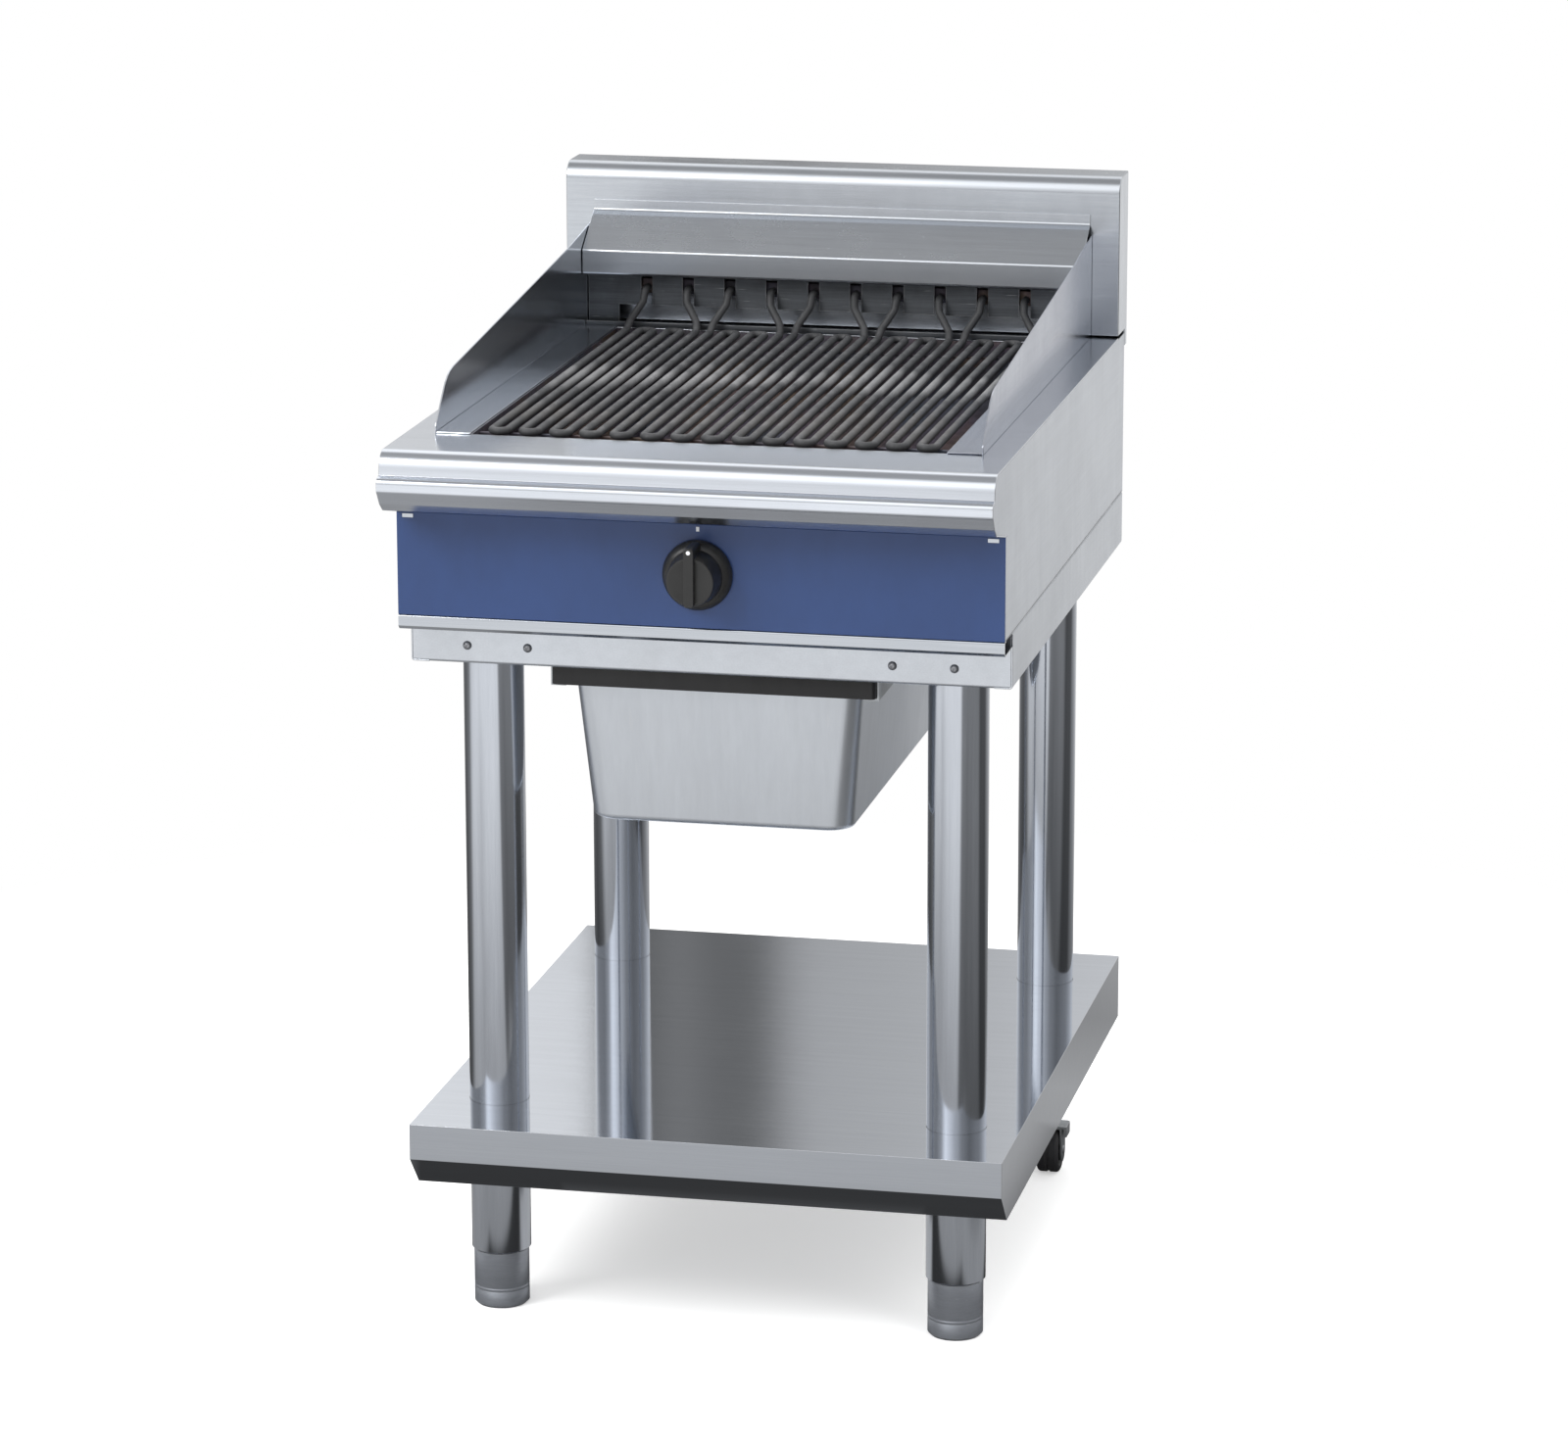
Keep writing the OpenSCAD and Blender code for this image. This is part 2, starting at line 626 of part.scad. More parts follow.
module pan_runner(side) {
  web = carrier_w / 2 + runner_gap;
  z = carrier_bottom - 0.5;
  path = [[web - 13, z], [web, z], [web, stand_top - 2.2], [web - 16, stand_top - 2.2]];
  color("silver") mirror([side > 0 ? 0 : 1, 0, 0]) translate([0, carrier_front_y + carrier_l, 0])
    rotate([90, 0, 0]) linear_extrude(carrier_l - 8) folded(path, -2);
}

module pan_carrier() {
  w = carrier_w / 2;
  front = carrier_front_y;
  color([0.1, 0.1, 0.1]) difference() {
    block([-w, front, carrier_bottom], [w, front + carrier_l, carrier_top]);
    block([-w + 14, front + 14, carrier_bottom - 1], [w - 14, front + carrier_l - 14, carrier_top + 1]);
  }
}

// Tapered pan with a flat rim that rests in the carrier
module drip_pan() {
  front = carrier_front_y + 16;
  rear = carrier_front_y + carrier_l - 16;
  mouth = carrier_w / 2 - 16;
  taper = 15;
  module hollow(inset, lift) {
    hull() {
      slab(mouth - inset, front + inset, rear - inset, 18, carrier_top, 0.1 + lift);
      slab(mouth - taper - inset, front + 9 + inset, rear - 9 - inset, 20, pan_bottom + 6 + inset, 0.1);
      slab(mouth - taper - 3 - inset, front + 13 + inset, rear - 13 - inset, 20, pan_bottom + inset, 0.1);
    }
  }
  color([0.78, 0.79, 0.8]) difference() {
    union() {
      hollow(0, 0);
      slab(mouth + 14, front - 14, rear + 14, 12, carrier_top + 0.02, rim_t);
    }
    hollow(pan_wall, 5);
  }
}

leg(-1, true);  // leg_front_left
leg(1, true);  // leg_front_right
leg(-1, false);  // leg_rear_left
leg(1, false);  // leg_rear_right
leg_sockets();
leg_plugs();
front_rail();
rear_rail();
side_rail(-1);  // side_rail_left
side_rail(1);  // side_rail_right
undershelf();
shelf_collars();
foot(-1);  // foot_front_left
foot(1);  // foot_front_right
roller_bracket(-1);  // roller_bracket_left
roller_bracket(1);  // roller_bracket_right
roller_axle(-1);  // roller_axle_left
roller_axle(1);  // roller_axle_right
roller_wheel(-1);  // roller_wheel_left
roller_wheel(1);  // roller_wheel_right
rail_screws();
side_panel(-1);  // side_panel_left
side_panel(1);  // side_panel_right
rear_panel();
base_panel();
hob_deck();
control_panel();
lower_trim();
splashback();
element_cover();
slotted_panel();
well_liner();
guard(-1);  // guard_left
guard(1);  // guard_right
element_rest();
hinge_shaft();
shaft_brackets();
heating_element(1);  // heating_element_1
heating_element(2);  // heating_element_2
heating_element(3);  // heating_element_3
heating_element(4);  // heating_element_4
heating_element(5);  // heating_element_5
element_holder(1);  // element_holder_1
element_holder(2);  // element_holder_2
element_holder(3);  // element_holder_3
element_holder(4);  // element_holder_4
element_holder(5);  // element_holder_5
control_knob();
knob_dot();
index_mark();
rotary_switch();
contactor();
terminal_block();
cable_gland();
pan_runner(-1);  // pan_runner_left
pan_runner(1);  // pan_runner_right
pan_carrier();
drip_pan();
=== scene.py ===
import json
import math

import bmesh
import bpy
import numpy as np
from mathutils import Matrix, Vector


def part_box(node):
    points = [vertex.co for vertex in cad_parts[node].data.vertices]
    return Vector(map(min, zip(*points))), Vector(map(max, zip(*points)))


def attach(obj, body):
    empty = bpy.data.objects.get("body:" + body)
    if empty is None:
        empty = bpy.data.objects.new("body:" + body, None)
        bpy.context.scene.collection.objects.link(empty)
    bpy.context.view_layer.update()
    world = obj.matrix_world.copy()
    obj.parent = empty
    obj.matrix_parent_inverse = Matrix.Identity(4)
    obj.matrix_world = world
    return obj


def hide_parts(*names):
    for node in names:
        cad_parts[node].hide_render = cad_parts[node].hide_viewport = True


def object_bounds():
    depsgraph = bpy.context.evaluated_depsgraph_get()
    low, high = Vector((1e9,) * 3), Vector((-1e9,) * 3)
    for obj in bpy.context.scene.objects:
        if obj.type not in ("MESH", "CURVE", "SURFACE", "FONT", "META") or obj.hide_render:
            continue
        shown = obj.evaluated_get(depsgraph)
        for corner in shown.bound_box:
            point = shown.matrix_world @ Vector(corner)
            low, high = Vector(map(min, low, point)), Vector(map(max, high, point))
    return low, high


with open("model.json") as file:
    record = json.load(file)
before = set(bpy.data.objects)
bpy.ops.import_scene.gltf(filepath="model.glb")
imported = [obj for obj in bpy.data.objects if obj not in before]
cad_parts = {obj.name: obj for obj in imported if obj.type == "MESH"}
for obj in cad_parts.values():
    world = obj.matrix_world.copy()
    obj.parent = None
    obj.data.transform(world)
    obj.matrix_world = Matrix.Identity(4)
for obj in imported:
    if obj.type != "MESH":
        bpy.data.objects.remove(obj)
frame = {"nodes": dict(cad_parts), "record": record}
cadBounds = [list(corner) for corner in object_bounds()]  # the CAD model's box


def boxOf(node):
    # the corners of a node's box, as arrays
    low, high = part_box(node)
    return np.array(low), np.array(high)


def middleOf(node):
    low, high = boxOf(node)
    return (low + high) / 2


cameraView = {
    "azimuth": 12.114,  # degrees round to the unit's right
    "elevation": 14.067,
    "roll": -0.0935,
    "distance": 6.0139,  # metres from the point it looks at
    "lens": 134.59,
    "aim": (0.0118, 0.0025, 0.0223),  # from the middle of the unit's box
}


def placeCamera(look):
    # the camera looks back along a line given by azimuth and elevation, then rolls about it
    middle = (Vector(cadBounds[0]) + Vector(cadBounds[1])) / 2 + Vector(look["aim"])
    turn, rise, roll = (math.radians(look[k]) for k in ("azimuth", "elevation", "roll"))
    back = Vector((math.sin(turn) * math.cos(rise), -math.cos(turn) * math.cos(rise), math.sin(rise)))
    right = Vector((math.cos(turn), math.sin(turn), 0))
    up = back.cross(right)
    axes = (right * math.cos(roll) + up * math.sin(roll), up * math.cos(roll) - right * math.sin(roll), back)
    camera = bpy.data.objects.new("camera", bpy.data.cameras.new("camera"))
    camera.data.lens = look["lens"]
    camera.data.clip_end = 100
    camera.matrix_world = Matrix(axes).transposed().to_4x4()
    camera.location = middle + back * look["distance"]
    bpy.context.scene.collection.objects.link(camera)
    bpy.context.scene.camera = camera


placeCamera(cameraView)

studio = {
    "background": 1.0,  # seen directly
    "floorSize": 14.0,
    "floorColour": (0.93, 0.93, 0.925),
    "floorLift": 0.45,  # light given off by the floor, so that only the contact shadow shows
    "floorFade": (0.75, 1.7),  # distances over which the floor turns into the background
    # the floor in reflections: the half width and half length in metres of the outline under the unit,
    # then level by distance outside it, then a factor by direction in degrees from the front
    "outline": (0.31, 0.38),
    "floorMirror": [(-0.2, 0.6), (-0.17, 0.5), (-0.13, 0.05), (0.03, 0.05), (0.09, 0.42), (0.36, 0.46),
                    (0.7, 0.52), (2.0, 1.02), (4.0, 1.12)],
    "nearCard": 0.9,  # the factor close to the outline, in place of the one by direction
    "cardsFrom": (0.22, 0.5),  # distances over which the factor by direction takes over
    "floorCards": [(-180, 0.6), (-150, 0.3), (-116, 0.14), (-92, 0.25), (-76, 0.9), (-60, 1.0), (20, 1.0),
                   (27, 0.3), (84, 0.26), (94, 0.1), (120, 0.12), (134, 0.42), (157, 0.62), (168, 0.82),
                   (180, 0.6)],
    # brightness of the room by height: from straight down, 0, to straight up, 1
    "heights": [(0.0, 0.2), (0.42, 0.2), (0.52, 0.7), (0.62, 1.0), (0.75, 1.35), (0.9, 1.35), (0.965, 0.4)],
    # brightness round the room: degrees from the front, towards the unit's right, and a factor
    "cards": [(-180, 0.7), (-163, 0.82), (-140, 0.8), (-110, 0.35), (-70, 0.3), (-48, 0.5), (-32, 1.35),
              (-22, 1.2), (0, 0.75), (30, 0.35), (60, 0.2), (110, 0.35), (150, 0.75), (180, 0.7)],
    "cardsFade": (0.35, 0.8),  # how far up, as a share of straight up, the factor fades out
    # narrow bands behind the unit, which the shelf mirrors
    "bands": [(-180, 1.0), (-171, 0.8), (-169.3, 0.6), (-168.2, 0.54), (-167.95, 0.45), (-167.75, 0.28),
              (-167.55, 0.19), (-167.2, 0.19), (-166.8, 0.25), (-166.45, 0.17), (-166.2, 0.2), (-166.0, 0.5),
              (-165.85, 0.95), (-164, 1.0)],
    # name, place, size, watts
    "lamps": [("key", (-2.2, -2.4, 3.0), 1.8, 95), ("fill", (2.9, -2.0, 2.2), 1.6, 30),
              ("top", (0.2, 0.6, 3.4), 2.4, 60)],
    "lampAim": (0, 0, 0.6),
    "seenInSteel": "key",  # the one lamp that reflections show
}


def addNode(tree, kind, settings=None, values=None):
    node = tree.nodes.new(kind)
    for key, value in (settings or {}).items():
        setattr(node, key, value)
    for key, value in (values or {}).items():
        if isinstance(value, bpy.types.NodeSocket):
            tree.links.new(value, node.inputs[key])
        else:
            node.inputs[key].default_value = value
    return node


def calc(tree, operation, first, second=0.0, clamp=False):
    # one sum on shader values or numbers
    return addNode(tree, "ShaderNodeMath", {"operation": operation, "use_clamp": clamp},
                   {0: first, 1: second}).outputs[0]


def spread(tree, value, low, high, fromLow=0.0, fromHigh=1.0):
    # carries a mask that runs from fromLow to fromHigh over to the range from low to high
    return addNode(tree, "ShaderNodeMapRange", None,
                   {"Value": value, "From Min": fromLow, "From Max": fromHigh, "To Min": low,
                    "To Max": high}).outputs[0]


def blend(tree, factor, first, second, mode="MIX"):
    # two colours, each a socket or three numbers, mixed by a factor
    mix = addNode(tree, "ShaderNodeMix", {"data_type": "RGBA", "blend_type": mode, "clamp_factor": True})
    for index, value in ((0, factor), (6, first), (7, second)):
        if isinstance(value, bpy.types.NodeSocket):
            tree.links.new(value, mix.inputs[index])
        else:
            mix.inputs[index].default_value = value if index == 0 else (*value[:3], 1.0)
    return mix.outputs[2]


def ramp(tree, value, stops):
    node = addNode(tree, "ShaderNodeValToRGB", None, {0: value})
    while len(node.color_ramp.elements) < len(stops):
        node.color_ramp.elements.new(0.5)
    for element, (place, level) in zip(node.color_ramp.elements, stops):
        element.position = place
        element.color = (*level, 1.0) if isinstance(level, tuple) else (level, level, level, 1.0)
    return node.outputs[0]


def roundAbout(tree, parts, cards):
    # brightness by direction: the angle from the front, towards the unit's right, looked up in a ramp
    first, last = cards[0][0], cards[-1][0]
    around = calc(tree, "ARCTAN2", parts["X"], calc(tree, "MULTIPLY", parts["Y"], -1.0))
    turned = spread(tree, around, 0, 1, math.radians(first), math.radians(last))
    return ramp(tree, turned, [((angle - first) / (last - first), level) for angle, level in cards])


def mirroredFloor(tree, place, look):
    # what steel sees of the floor: level by distance from the unit's outline, times a factor by direction
    parts = addNode(tree, "ShaderNodeSeparateXYZ", None, {0: place}).outputs
    beside = [calc(tree, "SUBTRACT", calc(tree, "ABSOLUTE", parts[axis]), half)
              for axis, half in zip(("X", "Y"), look["outline"])]
    outside = calc(tree, "MAXIMUM", *beside)
    near, far = look["floorMirror"][0][0], look["floorMirror"][-1][0]
    steps = [((step - near) / (far - near), level) for step, level in look["floorMirror"]]
    level = ramp(tree, spread(tree, outside, 0, 1, near, far), steps)
    further = spread(tree, outside, 0, 1, *look["cardsFrom"])
    cards = blend(tree, further, (look["nearCard"],) * 3, roundAbout(tree, parts, look["floorCards"]))
    return addNode(tree, "ShaderNodeEmission", None, {"Color": blend(tree, 1.0, level, cards, "MULTIPLY")})


def floorMaterial(look):
    # pale paint that fades into the background for the camera, and the mirrored floor for glossy rays
    material = bpy.data.materials.new("pale_floor")
    material.use_nodes = True
    tree = material.node_tree
    tree.nodes.clear()
    place = addNode(tree, "ShaderNodeTexCoord").outputs["Object"]
    away = addNode(tree, "ShaderNodeVectorMath", {"operation": "LENGTH"}, {0: place}).outputs["Value"]
    paint = addNode(tree, "ShaderNodeBsdfDiffuse", None, {"Color": (*look["floorColour"], 1)})
    mirrored = mirroredFloor(tree, place, look)
    lift = addNode(tree, "ShaderNodeEmission", None, {"Strength": look["floorLift"]})
    lifted = addNode(tree, "ShaderNodeAddShader", None, {0: paint.outputs[0], 1: lift.outputs[0]})
    white = addNode(tree, "ShaderNodeEmission", None, {"Strength": look["background"]})
    fade = spread(tree, away, 0, 1, *look["floorFade"])
    direct = addNode(tree, "ShaderNodeMixShader", None, {0: fade, 1: lifted.outputs[0], 2: white.outputs[0]})
    rays = addNode(tree, "ShaderNodeLightPath").outputs
    plain = addNode(tree, "ShaderNodeMixShader", None,
                    {0: rays["Is Camera Ray"], 1: paint.outputs[0], 2: direct.outputs[0]})
    mix = addNode(tree, "ShaderNodeMixShader", None,
                  {0: rays["Is Glossy Ray"], 1: plain.outputs[0], 2: mirrored.outputs[0]})
    addNode(tree, "ShaderNodeOutputMaterial", None, {"Surface": mix.outputs[0]})
    return material


def layFloor(look):
    # one large square under the grill
    size = look["floorSize"]
    corners = [(-size, -size, 0), (size, -size, 0), (size, size, 0), (-size, size, 0)]
    mesh = bpy.data.meshes.new("floor")
    mesh.from_pydata(corners, [], [(0, 1, 2, 3)])
    floor = bpy.data.objects.new("floor", mesh)
    bpy.context.scene.collection.objects.link(floor)
    mesh.materials.append(floorMaterial(look))


def hangLamps(look):
    # square area lamps, of which the steel mirrors a single one
    for name, spot, width, power in look["lamps"]:
        lamp = bpy.data.lights.new(name, "AREA")
        lamp.energy, lamp.size = power, width
        holder = bpy.data.objects.new(name, lamp)
        holder.location = spot
        ray = Vector(look["lampAim"]) - Vector(spot)
        holder.rotation_euler = ray.to_track_quat("-Z", "Y").to_euler()
        holder.visible_glossy = name == look["seenInSteel"]
        bpy.context.scene.collection.objects.link(holder)


def lightRoom(look):
    # white for the camera, and for all else a brightness by height, times factors by direction
    world = bpy.data.worlds.new("studio")
    bpy.context.scene.world = world
    world.use_nodes = True
    tree = world.node_tree
    tree.nodes.clear()
    towards = addNode(tree, "ShaderNodeTexCoord").outputs["Generated"]
    parts = addNode(tree, "ShaderNodeSeparateXYZ", None, {0: towards}).outputs
    cards = blend(tree, 1.0, *(roundAbout(tree, parts, look[key]) for key in ("cards", "bands")), "MULTIPLY")
    height = ramp(tree, spread(tree, parts["Z"], 0, 1, -1, 1), look["heights"])
    calm = spread(tree, parts["Z"], 0, 1, *look["cardsFade"])
    room = blend(tree, 1.0, height, blend(tree, calm, cards, (1.0, 1.0, 1.0)), "MULTIPLY")
    rays = addNode(tree, "ShaderNodeLightPath")
    shown = blend(tree, rays.outputs["Is Camera Ray"], room, (look["background"],) * 3)
    sky = addNode(tree, "ShaderNodeBackground", None, {"Color": shown})
    addNode(tree, "ShaderNodeOutputWorld", None, {"Surface": sky.outputs[0]})


bpy.context.scene.view_settings.view_transform = "Standard"
layFloor(studio)
hangLamps(studio)
lightRoom(studio)
print("camera, floor and lights placed")


def newGroup(name, inputs, outputs):
    # a node group, with its input and output sockets
    tree = bpy.data.node_groups.new(name, "ShaderNodeTree")
    for label, kind, value in inputs:
        socket = tree.interface.new_socket(label, in_out="INPUT", socket_type="NodeSocket" + kind)
        if value is not None:
            socket.default_value = value
    for label, kind in outputs:
        tree.interface.new_socket(label, in_out="OUTPUT", socket_type="NodeSocket" + kind)
    return tree, tree.nodes.new("NodeGroupInput").outputs, tree.nodes.new("NodeGroupOutput").inputs


def noise(tree, vector, scale, detail=4.0, rough=0.55):
    return addNode(tree, "ShaderNodeTexNoise", None,
                   {"Vector": vector, "Scale": scale, "Detail": detail, "Roughness": rough}).outputs["Fac"]


def buildBrushedGrain():
    # long fine lines: noise on coordinates that are squeezed along the brushing
    asked = [("Vector", "Vector", None), ("Stretch", "Vector", (20, 700, 700)), ("Depth", "Float", 0.1)]
    tree, given, out = newGroup("brushedGrain", asked, [("Grain", "Float"), ("Normal", "Vector")])
    squeezed = addNode(tree, "ShaderNodeVectorMath", {"operation": "MULTIPLY"},
                       {0: given["Vector"], 1: given["Stretch"]}).outputs["Vector"]
    fine = noise(tree, squeezed, 1.0, 5.0, 0.7)
    broad = noise(tree, squeezed, 0.17, 2.0)
    grain = calc(tree, "ADD", calc(tree, "MULTIPLY", fine, 0.65), calc(tree, "MULTIPLY", broad, 0.35))
    bump = addNode(tree, "ShaderNodeBump", None,
                   {"Strength": given["Depth"], "Distance": 0.0005, "Height": grain})
    tree.links.new(spread(tree, grain, 0, 1, 0.3, 0.7), out["Grain"])
    tree.links.new(bump.outputs["Normal"], out["Normal"])
    return tree


def buildSmudges():
    # soft patches left by hands and cloths
    tree, given, out = newGroup("smudges", [("Vector", "Vector", None), ("Scale", "Float", 6.0)],
                                [("Mask", "Float")])
    wide = noise(tree, given["Vector"], given["Scale"], 3.0)
    streak = addNode(tree, "ShaderNodeVectorMath", {"operation": "MULTIPLY"},
                     {0: given["Vector"], 1: (4.0, 9.0, 1.6)}).outputs["Vector"]
    wiped = noise(tree, streak, calc(tree, "MULTIPLY", given["Scale"], 1.7), 5.0, 0.65)
    both = calc(tree, "ADD", calc(tree, "MULTIPLY", wide, 0.6), calc(tree, "MULTIPLY", wiped, 0.4))
    tree.links.new(spread(tree, both, 0, 1, 0.38, 0.66), out["Mask"])
    return tree


def buildHairScratches():
    # thin lines kept from the crests of a strongly squeezed noise
    asked = [("Vector", "Vector", None), ("Stretch", "Vector", (8, 900, 900)), ("Limit", "Float", 0.68)]
    tree, given, out = newGroup("hairScratches", asked, [("Mask", "Float")])
    squeezed = addNode(tree, "ShaderNodeVectorMath", {"operation": "MULTIPLY"},
                       {0: given["Vector"], 1: given["Stretch"]}).outputs["Vector"]
    lines = noise(tree, squeezed, 1.0, 2.0, 0.5)
    over = calc(tree, "SUBTRACT", lines, given["Limit"])
    tree.links.new(calc(tree, "MULTIPLY", over, 25.0, clamp=True), out["Mask"])
    return tree


def buildEdgeWear():
    # how far a rounded normal leans away from the true one, broken up by noise
    tree, given, out = newGroup("edgeWear", [("Vector", "Vector", None), ("Radius", "Float", 0.0015)],
                                [("Mask", "Float")])
    rounded = addNode(tree, "ShaderNodeBevel", {"samples": 4}, {"Radius": given["Radius"]}).outputs[0]
    true = addNode(tree, "ShaderNodeNewGeometry").outputs["Normal"]
    facing = addNode(tree, "ShaderNodeVectorMath", {"operation": "DOT_PRODUCT"},
                     {0: rounded, 1: true}).outputs["Value"]
    lean = spread(tree, facing, 1, 0, 0.88, 0.995)
    patchy = spread(tree, noise(tree, given["Vector"], 60.0, 5.0), 0.45, 1.0, 0.4, 0.62)
    tree.links.new(calc(tree, "MULTIPLY", lean, patchy, clamp=True), out["Mask"])
    return tree


def buildDustFilm():
    # settles on what faces up, in soft clouds
    tree, given, out = newGroup("dustFilm", [("Vector", "Vector", None), ("Scale", "Float", 14.0)],
                                [("Mask", "Float")])
    up = addNode(tree, "ShaderNodeSeparateXYZ", None,
                 {0: addNode(tree, "ShaderNodeNewGeometry").outputs["Normal"]})
    flat = spread(tree, up.outputs["Z"], 0, 1, 0.4, 1.0)
    cloud = spread(tree, noise(tree, given["Vector"], given["Scale"], 6.0, 0.65), 0, 1, 0.42, 0.7)
    tree.links.new(calc(tree, "MULTIPLY", flat, cloud, clamp=True), out["Mask"])
    return tree


def buildGreaseSpots():
    # round spots of different sizes, where a cell pattern is closest to its centres
    tree, given, out = newGroup("greaseSpots", [("Vector", "Vector", None), ("Scale", "Float", 90.0)],
                                [("Mask", "Float")])
    cells = addNode(tree, "ShaderNodeTexVoronoi", None, {"Vector": given["Vector"], "Scale": given["Scale"]})
    size = spread(tree, noise(tree, given["Vector"], 18.0, 2.0), 0.02, 0.3, 0.45, 0.75)
    inside = calc(tree, "SUBTRACT", size, cells.outputs["Distance"])
    tree.links.new(calc(tree, "MULTIPLY", inside, 9.0, clamp=True), out["Mask"])
    return tree


def buildHeatTint():
    # the colours that steel takes when it is heated: straw, brown, violet, blue, grey
    tree, given, out = newGroup("heatTint", [("Vector", "Vector", None), ("Heat", "Float", 0.5)],
                                [("Colour", "Color"), ("Mask", "Float")])
    drift = spread(tree, noise(tree, given["Vector"], 9.0, 4.0, 0.6), -0.25, 0.25, 0.3, 0.7)
    heat = calc(tree, "ADD", given["Heat"], drift, clamp=True)
    tints = [(0.0, (0.6, 0.6, 0.61)), (0.25, (0.6, 0.5, 0.33)), (0.45, (0.4, 0.24, 0.16)),
             (0.6, (0.27, 0.2, 0.3)), (0.78, (0.2, 0.25, 0.38)), (1.0, (0.14, 0.14, 0.15))]
    tree.links.new(ramp(tree, heat, tints), out["Colour"])
    tree.links.new(spread(tree, heat, 0, 1, 0.05, 0.5), out["Mask"])
    return tree


groups = {
    "brushedGrain": buildBrushedGrain(),
    "smudges": buildSmudges(),
    "hairScratches": buildHairScratches(),
    "edgeWear": buildEdgeWear(),
    "dustFilm": buildDustFilm(),
    "greaseSpots": buildGreaseSpots(),
    "heatTint": buildHeatTint(),
}


def useGroup(tree, name, values):
    return addNode(tree, "ShaderNodeGroup", {"node_tree": groups[name]}, values).outputs


def newFinish(name):
    # a fresh material with its tree, shader and object coordinates
    material = bpy.data.materials.new(name)
    material.use_nodes = True
    tree = material.node_tree
    shader = tree.nodes["Principled BSDF"]
    return material, tree, shader, addNode(tree, "ShaderNodeTexCoord").outputs["Object"]


steelLooks = {
    # colour range, roughness range, brushing direction as squeeze per axis, bump depth, size of smudges, wear
    "stand_tube": {"dark": (0.54, 0.55, 0.58), "light": (0.64, 0.65, 0.68), "rough": (0.1, 0.13),
                   "stretch": (260, 260, 9), "depth": 0.05, "smudge": 7.0, "wear": 0.25},
    "brushed_stainless": {"dark": (0.62, 0.63, 0.65), "light": (0.73, 0.74, 0.76), "rough": (0.28, 0.34),
                          "stretch": (500, 14, 700), "depth": 0.09, "smudge": 5.0, "wear": 0.4},
    "back_stainless": {"dark": (0.56, 0.57, 0.59), "light": (0.66, 0.67, 0.69), "rough": (0.2, 0.26),
                       "stretch": (10, 500, 500), "depth": 0.06, "smudge": 5.0, "wear": 0.4},
    # the right guard: a darker, bluer copy of the polished steel, which paints the shade on that side
    "right_guard_shaded_steel": {"dark": (0.4, 0.41, 0.46), "light": (0.5, 0.51, 0.56), "rough": (0.18, 0.24),
                        "stretch": (600, 12, 500), "depth": 0.06, "smudge": 5.0, "wear": 0.4},
    "shelf_stainless": {"dark": (0.7, 0.71, 0.74), "light": (0.77, 0.78, 0.81), "rough": (0.03, 0.05),
                        "stretch": (10, 600, 600), "depth": 0.03, "smudge": 4.0, "wear": 0.15},
    "polished_stainless": {"dark": (0.68, 0.69, 0.72), "light": (0.78, 0.79, 0.82), "rough": (0.15, 0.2),
                           "stretch": (10, 600, 600), "depth": 0.05, "smudge": 4.0, "wear": 0.3},
    "dull_stainless": {"dark": (0.1, 0.105, 0.11), "light": (0.19, 0.195, 0.205), "rough": (0.38, 0.52),
                       "stretch": (18, 420, 420), "depth": 0.15, "smudge": 12.0, "wear": 0.8},
    "bright_trim": {"dark": (0.5, 0.51, 0.53), "light": (0.6, 0.61, 0.63), "rough": (0.06, 0.1),
                    "stretch": (6, 500, 500), "depth": 0.02, "smudge": 6.0, "wear": 0.2},
    "pan_stainless": {"dark": (0.7, 0.71, 0.73), "light": (0.78, 0.79, 0.81), "rough": (0.34, 0.4),
                      "stretch": (120, 120, 14), "depth": 0.04, "smudge": 8.0, "wear": 0.3},
    "zinc_steel": {"dark": (0.42, 0.43, 0.44), "light": (0.6, 0.61, 0.61), "rough": (0.38, 0.56),
                   "stretch": (70, 70, 70), "depth": 0.06, "smudge": 16.0, "wear": 1.0},
    "foot_steel": {"dark": (0.36, 0.37, 0.4), "light": (0.47, 0.48, 0.51), "rough": (0.28, 0.36),
                   "stretch": (90, 90, 900), "depth": 0.08, "smudge": 10.0, "wear": 0.5, "metal": 0.72},
    "screw_steel": {"dark": (0.2, 0.2, 0.21), "light": (0.38, 0.38, 0.4), "rough": (0.28, 0.42),
                    "stretch": (300, 300, 300), "depth": 0.1, "smudge": 40.0, "wear": 0.8},
}
steelTint = (0.965, 1.0, 1.04)
wornEdge = (0.86, 0.86, 0.87)
smudgeTone = 0.86  # how much a smudge darkens the steel under it


